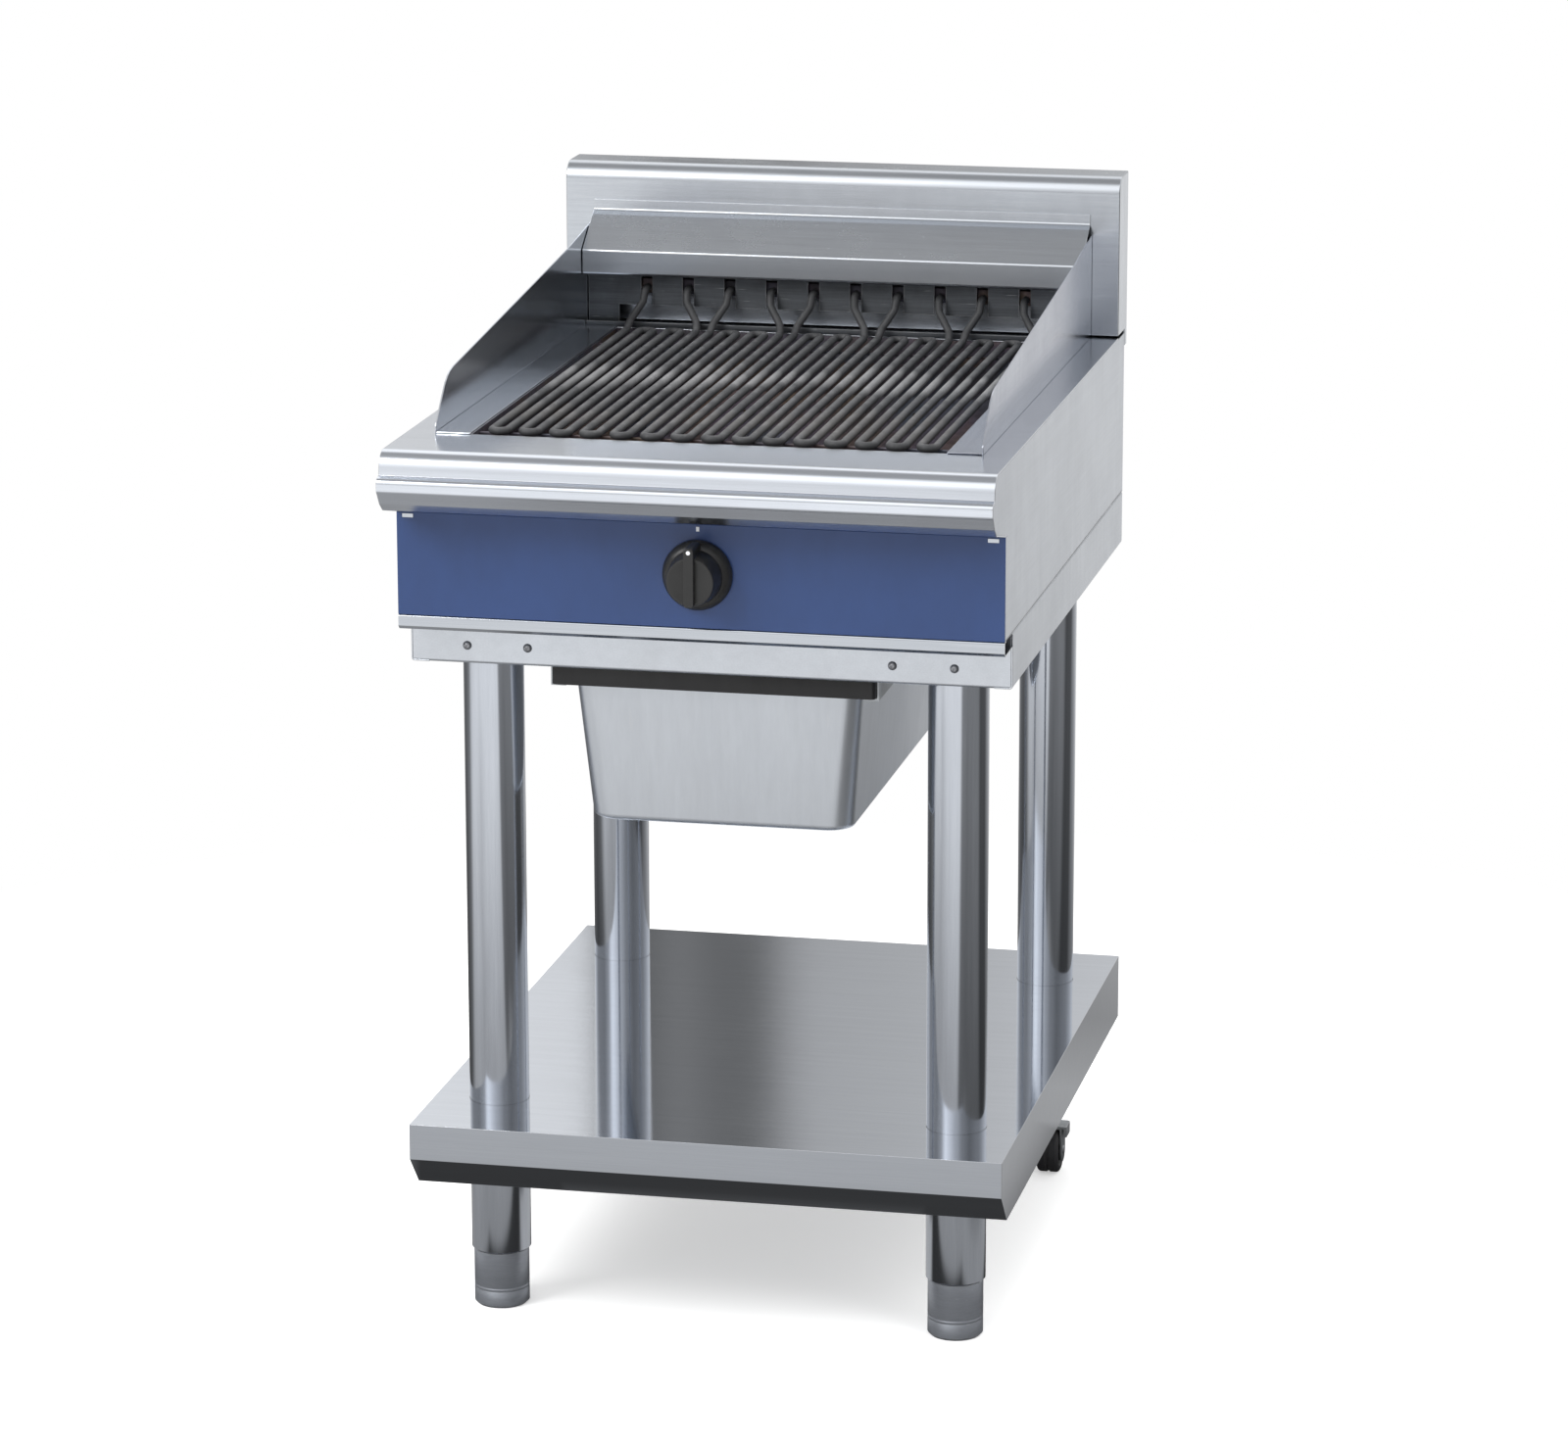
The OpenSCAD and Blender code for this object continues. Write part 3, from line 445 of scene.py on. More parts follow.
def steelFinish(name, look):
    # stainless or zinc steel with smudges, fine scratches and worn edges
    material, tree, shader, place = newFinish(name)
    wear = look["wear"]
    grain = useGroup(tree, "brushedGrain",
                     {"Vector": place, "Stretch": look["stretch"], "Depth": look["depth"]})
    smudge = useGroup(tree, "smudges", {"Vector": place, "Scale": look["smudge"]})["Mask"]
    fine = tuple(v * 1.3 for v in look["stretch"])
    lines = useGroup(tree, "hairScratches", {"Vector": place, "Stretch": fine})["Mask"]
    edge = useGroup(tree, "edgeWear", {"Vector": place})["Mask"]
    dust = useGroup(tree, "dustFilm", {"Vector": place})["Mask"]
    steel = blend(tree, 1.0, blend(tree, grain["Grain"], look["dark"], look["light"]), steelTint, "MULTIPLY")
    touched = tuple(v * smudgeTone for v in look["dark"])
    wiped = blend(tree, calc(tree, "MULTIPLY", smudge, 0.5 * wear), steel, touched)
    lined = blend(tree, calc(tree, "MULTIPLY", lines, 0.35 * wear), wiped, wornEdge)
    worn = blend(tree, calc(tree, "MULTIPLY", edge, 0.6), lined, wornEdge)
    dusty = blend(tree, calc(tree, "MULTIPLY", dust, 0.1 * wear), worn, (0.5, 0.48, 0.45))
    tree.links.new(dusty, shader.inputs["Base Color"])
    low, high = look["rough"]
    rough = calc(tree, "ADD", spread(tree, smudge, low, high), calc(tree, "MULTIPLY", dust, 0.12 * wear))
    rough = calc(tree, "ADD", rough, calc(tree, "MULTIPLY", grain["Grain"], 0.04 * wear), clamp=True)
    tree.links.new(rough, shader.inputs["Roughness"])
    tree.links.new(grain["Normal"], shader.inputs["Normal"])
    shader.inputs["Metallic"].default_value = look.get("metal", 1.0)
    return material


burntLook = {"rough": (0.45, 0.75), "soot": (0.035, 0.033, 0.03), "heat": 0.62}


def burntFinish(name, look):
    # steel tinted by heat, under soot and grease spots
    material, tree, shader, place = newFinish(name)
    heat = useGroup(tree, "heatTint", {"Vector": place, "Heat": look["heat"]})
    soot = useGroup(tree, "smudges", {"Vector": place, "Scale": 11.0})["Mask"]
    spots = useGroup(tree, "greaseSpots", {"Vector": place})["Mask"]
    grain = useGroup(tree, "brushedGrain", {"Vector": place, "Stretch": (90, 90, 90), "Depth": 0.25})
    steel = blend(tree, 0.45, heat["Colour"], (0.16, 0.155, 0.15))
    sooty = blend(tree, spread(tree, soot, 0.25, 0.9), steel, look["soot"])
    tree.links.new(blend(tree, spots, sooty, (0.05, 0.035, 0.02)), shader.inputs["Base Color"])
    tree.links.new(spread(tree, soot, *look["rough"]), shader.inputs["Roughness"])
    tree.links.new(spread(tree, soot, 0.9, 0.35), shader.inputs["Metallic"])
    tree.links.new(grain["Normal"], shader.inputs["Normal"])
    return material


# the pale grey paints the highlight band and is also the colour of the ash dust; the brown paints the
# highlight band at the front
elementLook = {"oxide": (0.036, 0.037, 0.039), "scale": (0.056, 0.057, 0.06), "ashAndHighlightGrey": (0.26, 0.26, 0.265),
               "frontHighlightBrown": (0.085, 0.081, 0.078), "rough": (0.5, 0.68), "shine": 0.3,
               "highlightBand": (0.02, 0.06), "frontHighlightBand": (-0.19, 0.06)}  # middle and half width along the bars


def elementFinish(name, look):
    # oxidised sheath: charcoal, with a pale painted highlight band across the middle, a browner painted
    # highlight band at the front, and pale ash dust on what faces up
    material, tree, shader, place = newFinish(name)
    depth = addNode(tree, "ShaderNodeSeparateXYZ", None, {0: place}).outputs["Y"]
    grain = useGroup(tree, "brushedGrain", {"Vector": place, "Stretch": (420, 40, 420), "Depth": 0.2})
    cloud = useGroup(tree, "smudges", {"Vector": place, "Scale": 24.0})["Mask"]
    dust = useGroup(tree, "dustFilm", {"Vector": place, "Scale": 45.0})["Mask"]
    spots = useGroup(tree, "greaseSpots", {"Vector": place, "Scale": 160.0})["Mask"]
    drift = calc(tree, "ADD", depth, spread(tree, noise(tree, place, 7.0, 3.0), -0.05, 0.05, 0.3, 0.7))

    # a painted highlight band across the bars, broken up by the clouds
    def band(middle, half):
        away = calc(tree, "ABSOLUTE", calc(tree, "SUBTRACT", drift, middle))
        return calc(tree, "MULTIPLY", spread(tree, away, 1, 0, half * 0.3, half),
                    spread(tree, cloud, 0.45, 1.0))

    base = blend(tree, grain["Grain"], look["oxide"], look["scale"])
    # painted highlights: the brown band at the front, then the pale band in the middle
    brown = blend(tree, calc(tree, "MULTIPLY", band(*look["frontHighlightBand"]), 0.8), base, look["frontHighlightBrown"])
    withHighlightBand = blend(tree, calc(tree, "MULTIPLY", band(*look["highlightBand"]), 0.7), brown, look["ashAndHighlightGrey"])
    dusty = blend(tree, calc(tree, "MULTIPLY", dust, 0.25), withHighlightBand, look["ashAndHighlightGrey"])
    tree.links.new(blend(tree, calc(tree, "MULTIPLY", spots, 0.4), dusty, (0.015, 0.015, 0.015)),
                   shader.inputs["Base Color"])
    tree.links.new(spread(tree, cloud, *look["rough"]), shader.inputs["Roughness"])
    shader.inputs["Specular IOR Level"].default_value = look["shine"]
    tree.links.new(grain["Normal"], shader.inputs["Normal"])
    return material


paintLooks = {
    # colour, edge colour where the paint is thin, roughness range, clear coat, bump depth
    "blue_enamel": {"colour": (0.016, 0.046, 0.155), "edge": (0.06, 0.11, 0.26), "rough": (0.36, 0.44),
                    "coat": 0.15, "coatRough": 0.12, "peel": 0.05, "peelScale": 240.0},
    "black_carrier": {"colour": (0.005, 0.005, 0.006), "edge": (0.09, 0.09, 0.09), "rough": (0.4, 0.6),
                      "coat": 0.1, "coatRough": 0.3, "peel": 0.12, "peelScale": 700.0},
    "white_mark": {"colour": (0.8, 0.81, 0.84), "edge": (0.9, 0.9, 0.92), "rough": (0.3, 0.42),
                   "coat": 0.2, "coatRough": 0.2, "peel": 0.05, "peelScale": 900.0},
}


def paintFinish(name, look):
    # a coat that has rubbed off along the edges
    material, tree, shader, place = newFinish(name)
    edge = useGroup(tree, "edgeWear", {"Vector": place, "Radius": 0.001})["Mask"]
    smudge = useGroup(tree, "smudges", {"Vector": place, "Scale": 9.0})["Mask"]
    dust = useGroup(tree, "dustFilm", {"Vector": place})["Mask"]
    peel = noise(tree, place, look["peelScale"], 2.0)
    tone = blend(tree, smudge, look["colour"], tuple(v * 0.88 for v in look["colour"]))
    worn = blend(tree, calc(tree, "MULTIPLY", edge, 0.5), tone, look["edge"])
    tree.links.new(blend(tree, calc(tree, "MULTIPLY", dust, 0.12), worn, (0.4, 0.39, 0.37)),
                   shader.inputs["Base Color"])
    tree.links.new(spread(tree, smudge, *look["rough"]), shader.inputs["Roughness"])
    bump = addNode(tree, "ShaderNodeBump", None,
                   {"Strength": look["peel"], "Distance": 0.0004, "Height": peel})
    tree.links.new(bump.outputs["Normal"], shader.inputs["Normal"])
    shader.inputs["Coat Weight"].default_value = look["coat"]
    shader.inputs["Coat Roughness"].default_value = look["coatRough"]
    return material


plasticLooks = {
    "knob_black": {"colour": (0.012, 0.012, 0.012), "worn": (0.05, 0.05, 0.048), "rough": (0.28, 0.42),
                   "grain": 1400.0, "depth": 0.12},
    "switch_plastic": {"colour": (0.5, 0.48, 0.42), "worn": (0.6, 0.58, 0.53), "rough": (0.4, 0.52),
                       "grain": 900.0, "depth": 0.08},
    "dark_plastic": {"colour": (0.02, 0.02, 0.022), "worn": (0.07, 0.07, 0.07), "rough": (0.42, 0.56),
                     "grain": 900.0, "depth": 0.15},
    "roller_nylon": {"colour": (0.016, 0.016, 0.018), "worn": (0.09, 0.085, 0.08), "rough": (0.45, 0.62),
                     "grain": 600.0, "depth": 0.2},
}


def plasticFinish(name, look):
    # moulded plastic with a fine grain and lighter edges
    material, tree, shader, place = newFinish(name)
    edge = useGroup(tree, "edgeWear", {"Vector": place, "Radius": 0.0012})["Mask"]
    smudge = useGroup(tree, "smudges", {"Vector": place, "Scale": 22.0})["Mask"]
    dust = useGroup(tree, "dustFilm", {"Vector": place, "Scale": 60.0})["Mask"]
    fine = noise(tree, place, look["grain"], 3.0)
    tone = blend(tree, smudge, look["colour"], tuple(v * 1.35 for v in look["colour"]))
    worn = blend(tree, calc(tree, "MULTIPLY", edge, 0.6), tone, look["worn"])
    tree.links.new(blend(tree, calc(tree, "MULTIPLY", dust, 0.2), worn, (0.25, 0.24, 0.22)),
                   shader.inputs["Base Color"])
    tree.links.new(spread(tree, smudge, *look["rough"]), shader.inputs["Roughness"])
    bump = addNode(tree, "ShaderNodeBump", None,
                   {"Strength": look["depth"], "Distance": 0.0003, "Height": fine})
    tree.links.new(bump.outputs["Normal"], shader.inputs["Normal"])
    return material


finishes = {name: steelFinish(name, look) for name, look in steelLooks.items()}
finishes.update({name: paintFinish(name, look) for name, look in paintLooks.items()})
finishes.update({name: plasticFinish(name, look) for name, look in plasticLooks.items()})
finishes["burnt_steel"] = burntFinish("burnt_steel", burntLook)
finishes["element_black"] = elementFinish("element_black", elementLook)
print("finishes made:", len(finishes))


def arcPoints(centre, radius, start, end, steps):
    # a circle's points: centre + radius * (cos a, sin a), a from start to end in degrees
    angle = np.radians(np.linspace(start, end, steps + 1))
    return np.column_stack([centre[0] + radius * np.cos(angle), centre[1] + radius * np.sin(angle)])


def unitRows(rows):
    # each row scaled to length one
    return rows / np.maximum(np.linalg.norm(rows, axis=-1, keepdims=True), 1e-12)


def roundCorners(points, radius, steps=5, closed=False):
    # every corner becomes an arc that touches both its sides, cut back by radius * tan(turn / 2)
    line = np.asarray(points, float)
    corner = line if closed else line[1:-1]
    before = corner - (np.roll(line, 1, 0) if closed else line[:-2])
    after = (np.roll(line, -1, 0) if closed else line[2:]) - corner
    room = 0.48 * np.minimum(np.linalg.norm(before, axis=1), np.linalg.norm(after, axis=1))
    into, out = unitRows(before), unitRows(after)
    turn = np.arccos(np.clip((into * out).sum(1), -1, 1))
    reach = np.minimum(np.asarray(radius) * np.tan(turn / 2), room)
    bend = reach / np.maximum(np.tan(turn / 2), 1e-9)
    side = unitRows(out - into * np.cos(turn)[:, None])
    sweep = (turn[:, None] * np.linspace(0, 1, steps + 1))[..., None]
    start = (corner - into * reach[:, None])[:, None]
    arcs = start + bend[:, None, None] * (np.sin(sweep) * into[:, None] + (1 - np.cos(sweep)) * side[:, None])
    middle = arcs.reshape(-1, line.shape[1])
    return middle if closed else np.vstack([line[:1], middle, line[-1:]])


def sidestep(points, distance, closed=False):
    # moves a line to its left by a distance, mitred where it turns
    line = np.asarray(points, float)
    edge = unitRows((np.roll(line, -1, 0) - line) if closed else np.diff(line, axis=0))
    before = np.roll(edge, 1, 0) if closed else np.vstack([edge[:1], edge])
    after = edge if closed else np.vstack([edge, edge[-1:]])
    left = np.column_stack([-before[:, 1], before[:, 0]])
    mitre = unitRows(left + np.column_stack([-after[:, 1], after[:, 0]]))
    return line + mitre * (distance / (mitre * left).sum(1))[:, None]


def onAxes(across, along, axis):
    # puts two outline coordinates and a place along the axis into x, y, z order
    order = {0: (2, 0, 1), 1: (0, 2, 1), 2: (0, 1, 2)}[axis]
    joined = np.concatenate([across, along], axis=-1)
    return joined[..., list(order)]


def gridFaces(rows, columns, closeRows=False, closeColumns=False):
    # quads between neighbouring points of a grid, with the last row or column joined to the first on request
    ids = np.arange(rows * columns).reshape(rows, columns)
    if closeRows:
        ids = np.vstack([ids, ids[:1]])
    if closeColumns:
        ids = np.hstack([ids, ids[:, :1]])
    return np.stack([ids[:-1, :-1], ids[1:, :-1], ids[1:, 1:], ids[:-1, 1:]], -1).reshape(-1, 4).tolist()


def extrude(outline, low, high, axis):
    # a closed outline carried straight along an axis, with a face on each end
    line = np.asarray(outline, float)
    count = len(line)
    points = np.vstack([onAxes(line, np.full((count, 1), end), axis) for end in (low, high)])
    ends = [list(range(count)), list(range(count, 2 * count))]
    return points, gridFaces(2, count, closeColumns=True) + ends


def brick(low, high):
    # a box between two corners
    low, high = np.asarray(low, float), np.asarray(high, float)
    corners = [(low[0], low[1]), (high[0], low[1]), (high[0], high[1]), (low[0], high[1])]
    return extrude(corners, low[2], high[2], 2)


def ring(outer, inner, low, high, axis=2):
    # the space between two closed outlines of equally many points, carried along an axis
    levels = [(outer, low), (outer, high), (inner, high), (inner, low)]
    rows = [onAxes(np.asarray(line, float), np.full((len(line), 1), end), axis) for line, end in levels]
    return np.vstack(rows), gridFaces(4, len(outer), closeRows=True, closeColumns=True)


def sheet(line, thickness, stations, keep=None):
    # a folded plate: the line and its sidestep carried along x, walled round its edge and round each cut cell
    outer = np.asarray(line, float)
    inner = sidestep(outer, thickness)
    x = np.asarray(stations, float)
    rows, columns = len(outer), len(x)
    skins = [np.column_stack([np.tile(x, rows), np.repeat(side, columns, 0)]) for side in (outer, inner)]
    cells = np.ones((rows - 1, columns - 1), bool) if keep is None else keep
    ids = np.arange(rows * columns).reshape(rows, columns)
    a, b, c, d = ids[:-1, :-1], ids[1:, :-1], ids[1:, 1:], ids[:-1, 1:]
    top = np.stack([a, b, c, d], -1)[cells]
    far = rows * columns
    padded = np.pad(cells, 1)
    walls = []
    for first, second, row, column in ((a, d, 0, 1), (b, c, 2, 1), (a, b, 1, 0), (d, c, 1, 2)):
        neighbour = padded[row:row + rows - 1, column:column + columns - 1]
        rim = cells & ~neighbour
        walls.append(np.stack([first[rim], second[rim], second[rim] + far, first[rim] + far], -1))
    return np.vstack(skins), np.vstack([top, top + far, *walls]).tolist()


def lathe(profile, centre, axis, segments=48):
    # a closed profile of (radius, place along the axis) turned round the axis
    shape = np.asarray(profile, float)
    angle = np.linspace(0, 2 * np.pi, segments, endpoint=False)
    flat = shape[:, None, :1] * np.stack([np.cos(angle), np.sin(angle)], -1)[None]
    along = np.repeat(shape[:, None, 1:], segments, 1)
    points = onAxes(flat, along, axis).reshape(-1, 3) + np.asarray(centre, float)
    return points, gridFaces(len(shape), segments, closeRows=True, closeColumns=True)


def tube(path, radius, sides=16):
    # a circle carried along a path: its two axes are the path's side, square to z, and the cross of both
    line = np.asarray(path, float)
    ahead = unitRows(np.gradient(line, axis=0))
    side = unitRows(np.cross(ahead, (0.0, 0.0, 1.0)))
    up = np.cross(side, ahead)
    angle = np.linspace(0, 2 * np.pi, sides, endpoint=False)[None, :, None]
    points = line[:, None] + radius * (np.cos(angle) * side[:, None] + np.sin(angle) * up[:, None])
    faces = gridFaces(len(line), sides, closeColumns=True)
    last = (len(line) - 1) * sides
    return points.reshape(-1, 3), faces + [list(range(sides)), list(range(last, last + sides))]


def roundedOutline(x, y, radius, steps=6):
    # a rectangle from (x0, y0) to (x1, y1) with round corners
    corners = [(x[0], y[0]), (x[1], y[0]), (x[1], y[1]), (x[0], y[1])]
    return roundCorners(corners, radius, steps, closed=True)


def loft(levels):
    # closed outlines of equally many points, each at its own height, joined in order with a face on each end
    rows = [onAxes(np.asarray(line, float), np.full((len(line), 1), height), 2) for line, height in levels]
    count = len(rows[0])
    last = (len(rows) - 1) * count
    faces = gridFaces(len(rows), count, closeColumns=True)
    return np.vstack(rows), faces + [list(range(count)), list(range(last, last + count))]


def joined(parts):
    # several parts as one: the corner numbers of each part start where the part before it ends
    starts = np.cumsum([0] + [len(points) for points, part in parts])
    faces = []
    for start, (points, part) in zip(starts, parts):
        faces += [[corner + start for corner in face] for face in part]
    return np.vstack([points for points, part in parts]), faces


def weld(mesh):
    # merges corners that meet, drops edges without length and turns every face outwards
    work = bmesh.new()
    work.from_mesh(mesh)
    bmesh.ops.remove_doubles(work, verts=work.verts, dist=2e-6)
    bmesh.ops.dissolve_degenerate(work, edges=work.edges, dist=1e-6)
    bmesh.ops.recalc_face_normals(work, faces=work.faces)
    work.to_mesh(mesh)
    work.free()


def keepFlat(piece):
    # shading normals lean towards the large faces, so that rounded edges stay narrow
    flats = piece.modifiers.new("flat faces", "WEIGHTED_NORMAL")
    flats.keep_sharp, flats.weight = True, 90


def makePiece(name, parts, finish, body="frame", replaced=(), bevel=0.0, bevelSteps=2, smooth=38):
    # joins the parts into one mesh, gives it a finish and hands it to the frame
    points, faces = joined(parts)
    used = np.unique(np.concatenate([np.asarray(face) for face in faces]))
    renumber = np.full(len(points), -1)
    renumber[used] = np.arange(len(used))
    mesh = bpy.data.meshes.new(name)
    mesh.from_pydata(points[used].tolist(), [], [renumber[face].tolist() for face in faces])
    weld(mesh)
    mesh.shade_smooth()
    piece = bpy.data.objects.new(name, mesh)
    bpy.context.scene.collection.objects.link(piece)
    if bevel:
        rounding = piece.modifiers.new("rounded edges", "BEVEL")
        rounding.width, rounding.segments, rounding.limit_method = bevel, bevelSteps, "ANGLE"
        rounding.angle_limit = math.radians(smooth)
        keepFlat(piece)
    else:
        mesh.set_sharp_from_angle(angle=math.radians(smooth))
    mesh.materials.append(finishes[finish])
    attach(piece, body)
    if replaced:
        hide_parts(*replaced)
    return piece


def cutAway(piece, parts):
    # takes closed shapes out of a finished piece, and keeps its rounded edges
    points, faces = joined(parts)
    mesh = bpy.data.meshes.new("cutter")
    mesh.from_pydata(points.tolist(), [], faces)
    weld(mesh)
    cutter = bpy.data.objects.new("cutter", mesh)
    bpy.context.scene.collection.objects.link(cutter)
    piece.modifiers.remove(piece.modifiers["flat faces"])
    cut = piece.modifiers.new("cut", "BOOLEAN")
    cut.object, cut.operation, cut.solver = cutter, "DIFFERENCE", "EXACT"
    bpy.context.view_layer.update()
    graph = bpy.context.evaluated_depsgraph_get()
    result = bpy.data.meshes.new_from_object(piece.evaluated_get(graph), depsgraph=graph)
    old = piece.data
    piece.modifiers.clear()
    piece.data = result
    bpy.data.meshes.remove(old)
    bpy.data.objects.remove(cutter)
    bpy.data.meshes.remove(mesh)
    keepFlat(piece)


tubeForm = {"wall": 0.0016, "endRound": 0.0008}
legNodes = ("leg_front_left", "leg_front_right", "leg_rear_left", "leg_rear_right")


def makeLeg(node):
    # a round tube whose outer rims are broken at both ends
    low, high = boxOf(node)
    middle = middleOf(node)
    r, e = (high[0] - low[0]) / 2, tubeForm["endRound"]
    profile = [(r - e, low[2]), (r, low[2] + e), (r, high[2] - e), (r - e, high[2]),
               (r - tubeForm["wall"], high[2]), (r - tubeForm["wall"], low[2])]
    makePiece(node + "_tube", [lathe(profile, (middle[0], middle[1], 0), 2, 72)], "stand_tube",
              replaced=[node])


for legNode in legNodes:
    makeLeg(legNode)

footForm = {"chamfer": 0.003, "groove": 0.0004, "grooveHalf": (0.0012, 0.0004), "grooves": (0.3, 0.36),
            "gap": 0.0005, "topRound": 0.001, "stud": 0.008, "thread": 0.0007, "turn": 0.001, "plain": 0.002}


def makeFoot(side):
    # a grooved sleeve under the leg and, inside the leg, a stud whose radius steps in and out as a thread
    node = "foot_front_" + side
    low, high = boxOf(node)
    middle = middleOf(node)
    form = footForm
    r, stud = (high[0] - low[0]) / 2, form["stud"]
    sleeveTop = boxOf("leg_front_" + side)[0][2] - form["gap"]
    body = [(0, 0), (r - form["chamfer"], 0), (r, form["chamfer"])]
    wide, narrow = form["grooveHalf"]
    for share in form["grooves"]:
        z = sleeveTop * share
        floor = r - form["groove"]
        body += [(r, z - wide), (floor, z - narrow), (floor, z + narrow), (r, z + wide)]
    body += [(r, sleeveTop - form["topRound"]), (r - form["topRound"], sleeveTop), (stud, sleeveTop)]
    turns = np.arange(sleeveTop + form["plain"], high[2] - form["plain"], form["turn"])
    thread = np.column_stack([stud - form["thread"] * (np.arange(len(turns)) % 2), turns])
    profile = np.vstack([body, thread, [(stud - 0.001, high[2]), (0, high[2])]])
    makePiece("foot_" + side + "_turned", [lathe(profile, (middle[0], middle[1], 0), 2, 64)], "foot_steel",
              body="foot_" + side, replaced=[node], smooth=30)


makeFoot("left")
makeFoot("right")

railForm = {"thickness": 0.0015, "bend": 0.003, "bendSteps": 4}


def makeCrossRail(node, inward):
    # a face with a return at the top and the bottom
    low, high = boxOf(node)
    y = low[1] if inward > 0 else high[1]
    z0, z1, depth = low[2], high[2], high[1] - low[1]
    line = [(y + inward * depth, z0), (y, z0), (y, z1), (y + inward * depth, z1)]
    line = roundCorners(line, railForm["bend"], railForm["bendSteps"])
    makePiece(node + "_sheet", [sheet(line, -inward * railForm["thickness"], (low[0], high[0]))],
              "brushed_stainless", replaced=[node], bevel=0.0004)


def makeSideRail(node):
    low, high = boxOf(node)
    right = high[0] > 0
    edge = high[0] if right else low[0]
    depth = high[0] - low[0]
    inner = edge - depth if right else edge + depth
    line = [(inner, low[2]), (edge, low[2]), (edge, high[2]), (inner, high[2])]
    line = roundCorners(line, railForm["bend"], railForm["bendSteps"])
    thick = railForm["thickness"] * (1 if right else -1)
    points, faces = sheet(line, thick, (low[1], high[1]))
    makePiece(node + "_sheet", [(points[:, [1, 0, 2]], faces)], "brushed_stainless", replaced=[node],
              bevel=0.0004)


makeCrossRail("front_rail", 1)
makeCrossRail("rear_rail", -1)
makeSideRail("side_rail_left")
makeSideRail("side_rail_right")

screwForm = {"headRadius": 0.0045, "headHeight": 0.0024, "recess": 0.0017, "depth": 0.0013,
             "shank": 0.0025, "spacing": 0.061, "gap": 0.00002}


def makeRailScrews():
    # domed heads with a round recess, on the front rail
    high, z = boxOf("rail_screws")[1], middleOf("rail_screws")[2]
    form = screwForm
    face = boxOf("front_rail")[0][1] - form["gap"]
    r, h, hole, shank = (form[k] for k in ("headRadius", "headHeight", "recess", "shank"))
    outer = high[0] - r
    dome = arcPoints((0, 0), 1, 66, 0, 6) * (r, h)
    head = np.vstack([[(0, 0), (0, h - form["depth"]), (hole, h - form["depth"]), (hole, h * 0.93)], dome])
    head[:, 1] = face - head[:, 1]
    body = [(0, face), (shank, face), (shank, high[1]), (0, high[1])]
    spots = [(sign * x, 0, z) for sign in (-1, 1) for x in (outer, outer - form["spacing"])]
    heads = [lathe(head, spot, 1, 28) for spot in spots]
    shanks = [lathe(body, spot, 1, 16) for spot in spots]
    makePiece("rail_screws_domed", heads + shanks, "screw_steel", replaced=["rail_screws"])


makeRailScrews()

shelfForm = {"thickness": 0.0015, "face": 0.0365, "bevelRun": 0.0315, "gap": 0.0003, "hem": 0.014,
             "drillPast": 0.01}


def makeShelf():
    # a tray open below: a solid outline with round edges, and the same outline inset as its hollow
    low, high = boxOf("undershelf")
    form = shelfForm
    front, rear, bottom, top = low[1], high[1], low[2], high[2]
    outer = [(front + form["bevelRun"], bottom), (rear, bottom), (rear, top), (front, top),
             (front, top - form["face"])]
    t = form["thickness"]
    inner = sidestep(outer, t, closed=True)
    inner[:2, 1] = bottom
    count = len(outer)
    wide, narrow = high[0], high[0] - t
    ends = [(outer, -wide), (outer, wide), (inner, wide - t), (inner, -narrow)]
    points = np.vstack([onAxes(np.asarray(line, float), np.full((count, 1), x), 0) for line, x in ends])
    # the four outlines are faces, then the sides between each pair, then the rim round the open bottom
    ids = np.arange(4 * count).reshape(4, count)
    faces = ids.tolist()
    following = np.roll(ids, -1, axis=1)
    for row, other in ((0, 1), (2, 3)):
        sides = np.stack([ids[row], following[row], following[other], ids[other]], -1)
        faces += sides[1:].tolist()
    a, b = ids[:, 0].tolist(), ids[:, 1].tolist()
    faces += [[a[0], b[0], b[3], a[3]], [a[1], b[1], b[2], a[2]], a, b]
    start = front + form["bevelRun"]
    hems = [brick((-narrow, start, bottom), (narrow, start + form["hem"], bottom + t)),
            brick((-narrow, rear - form["hem"], bottom), (narrow, rear - t, bottom + t))]
    piece = makePiece("undershelf_tray", [(points, faces)] + hems, "shelf_stainless", replaced=["undershelf"],
                      bevel=0.0007, bevelSteps=3)
    holes = []
    below, above = bottom - form["drillPast"], top + form["drillPast"]
    for node in legNodes:
        legLow, legHigh = boxOf(node)
        r = (legHigh[0] - legLow[0]) / 2 + form["gap"]
        spot = (*middleOf(node)[:2], 0)
        holes.append(lathe([(0, below), (r, below), (r, above), (0, above)], spot, 2, 72))
    cutAway(piece, holes)


makeShelf()

rollerForm = {"edge": 0.004, "groove": 0.0012, "grooveHalf": (0.001, 0.002), "hub": 0.010,
              "hubStep": (0.003, 0.001), "disc": (0.007, 0.009, 0.0025), "boreEdge": 0.0005,
              "clearance": 0.00005}


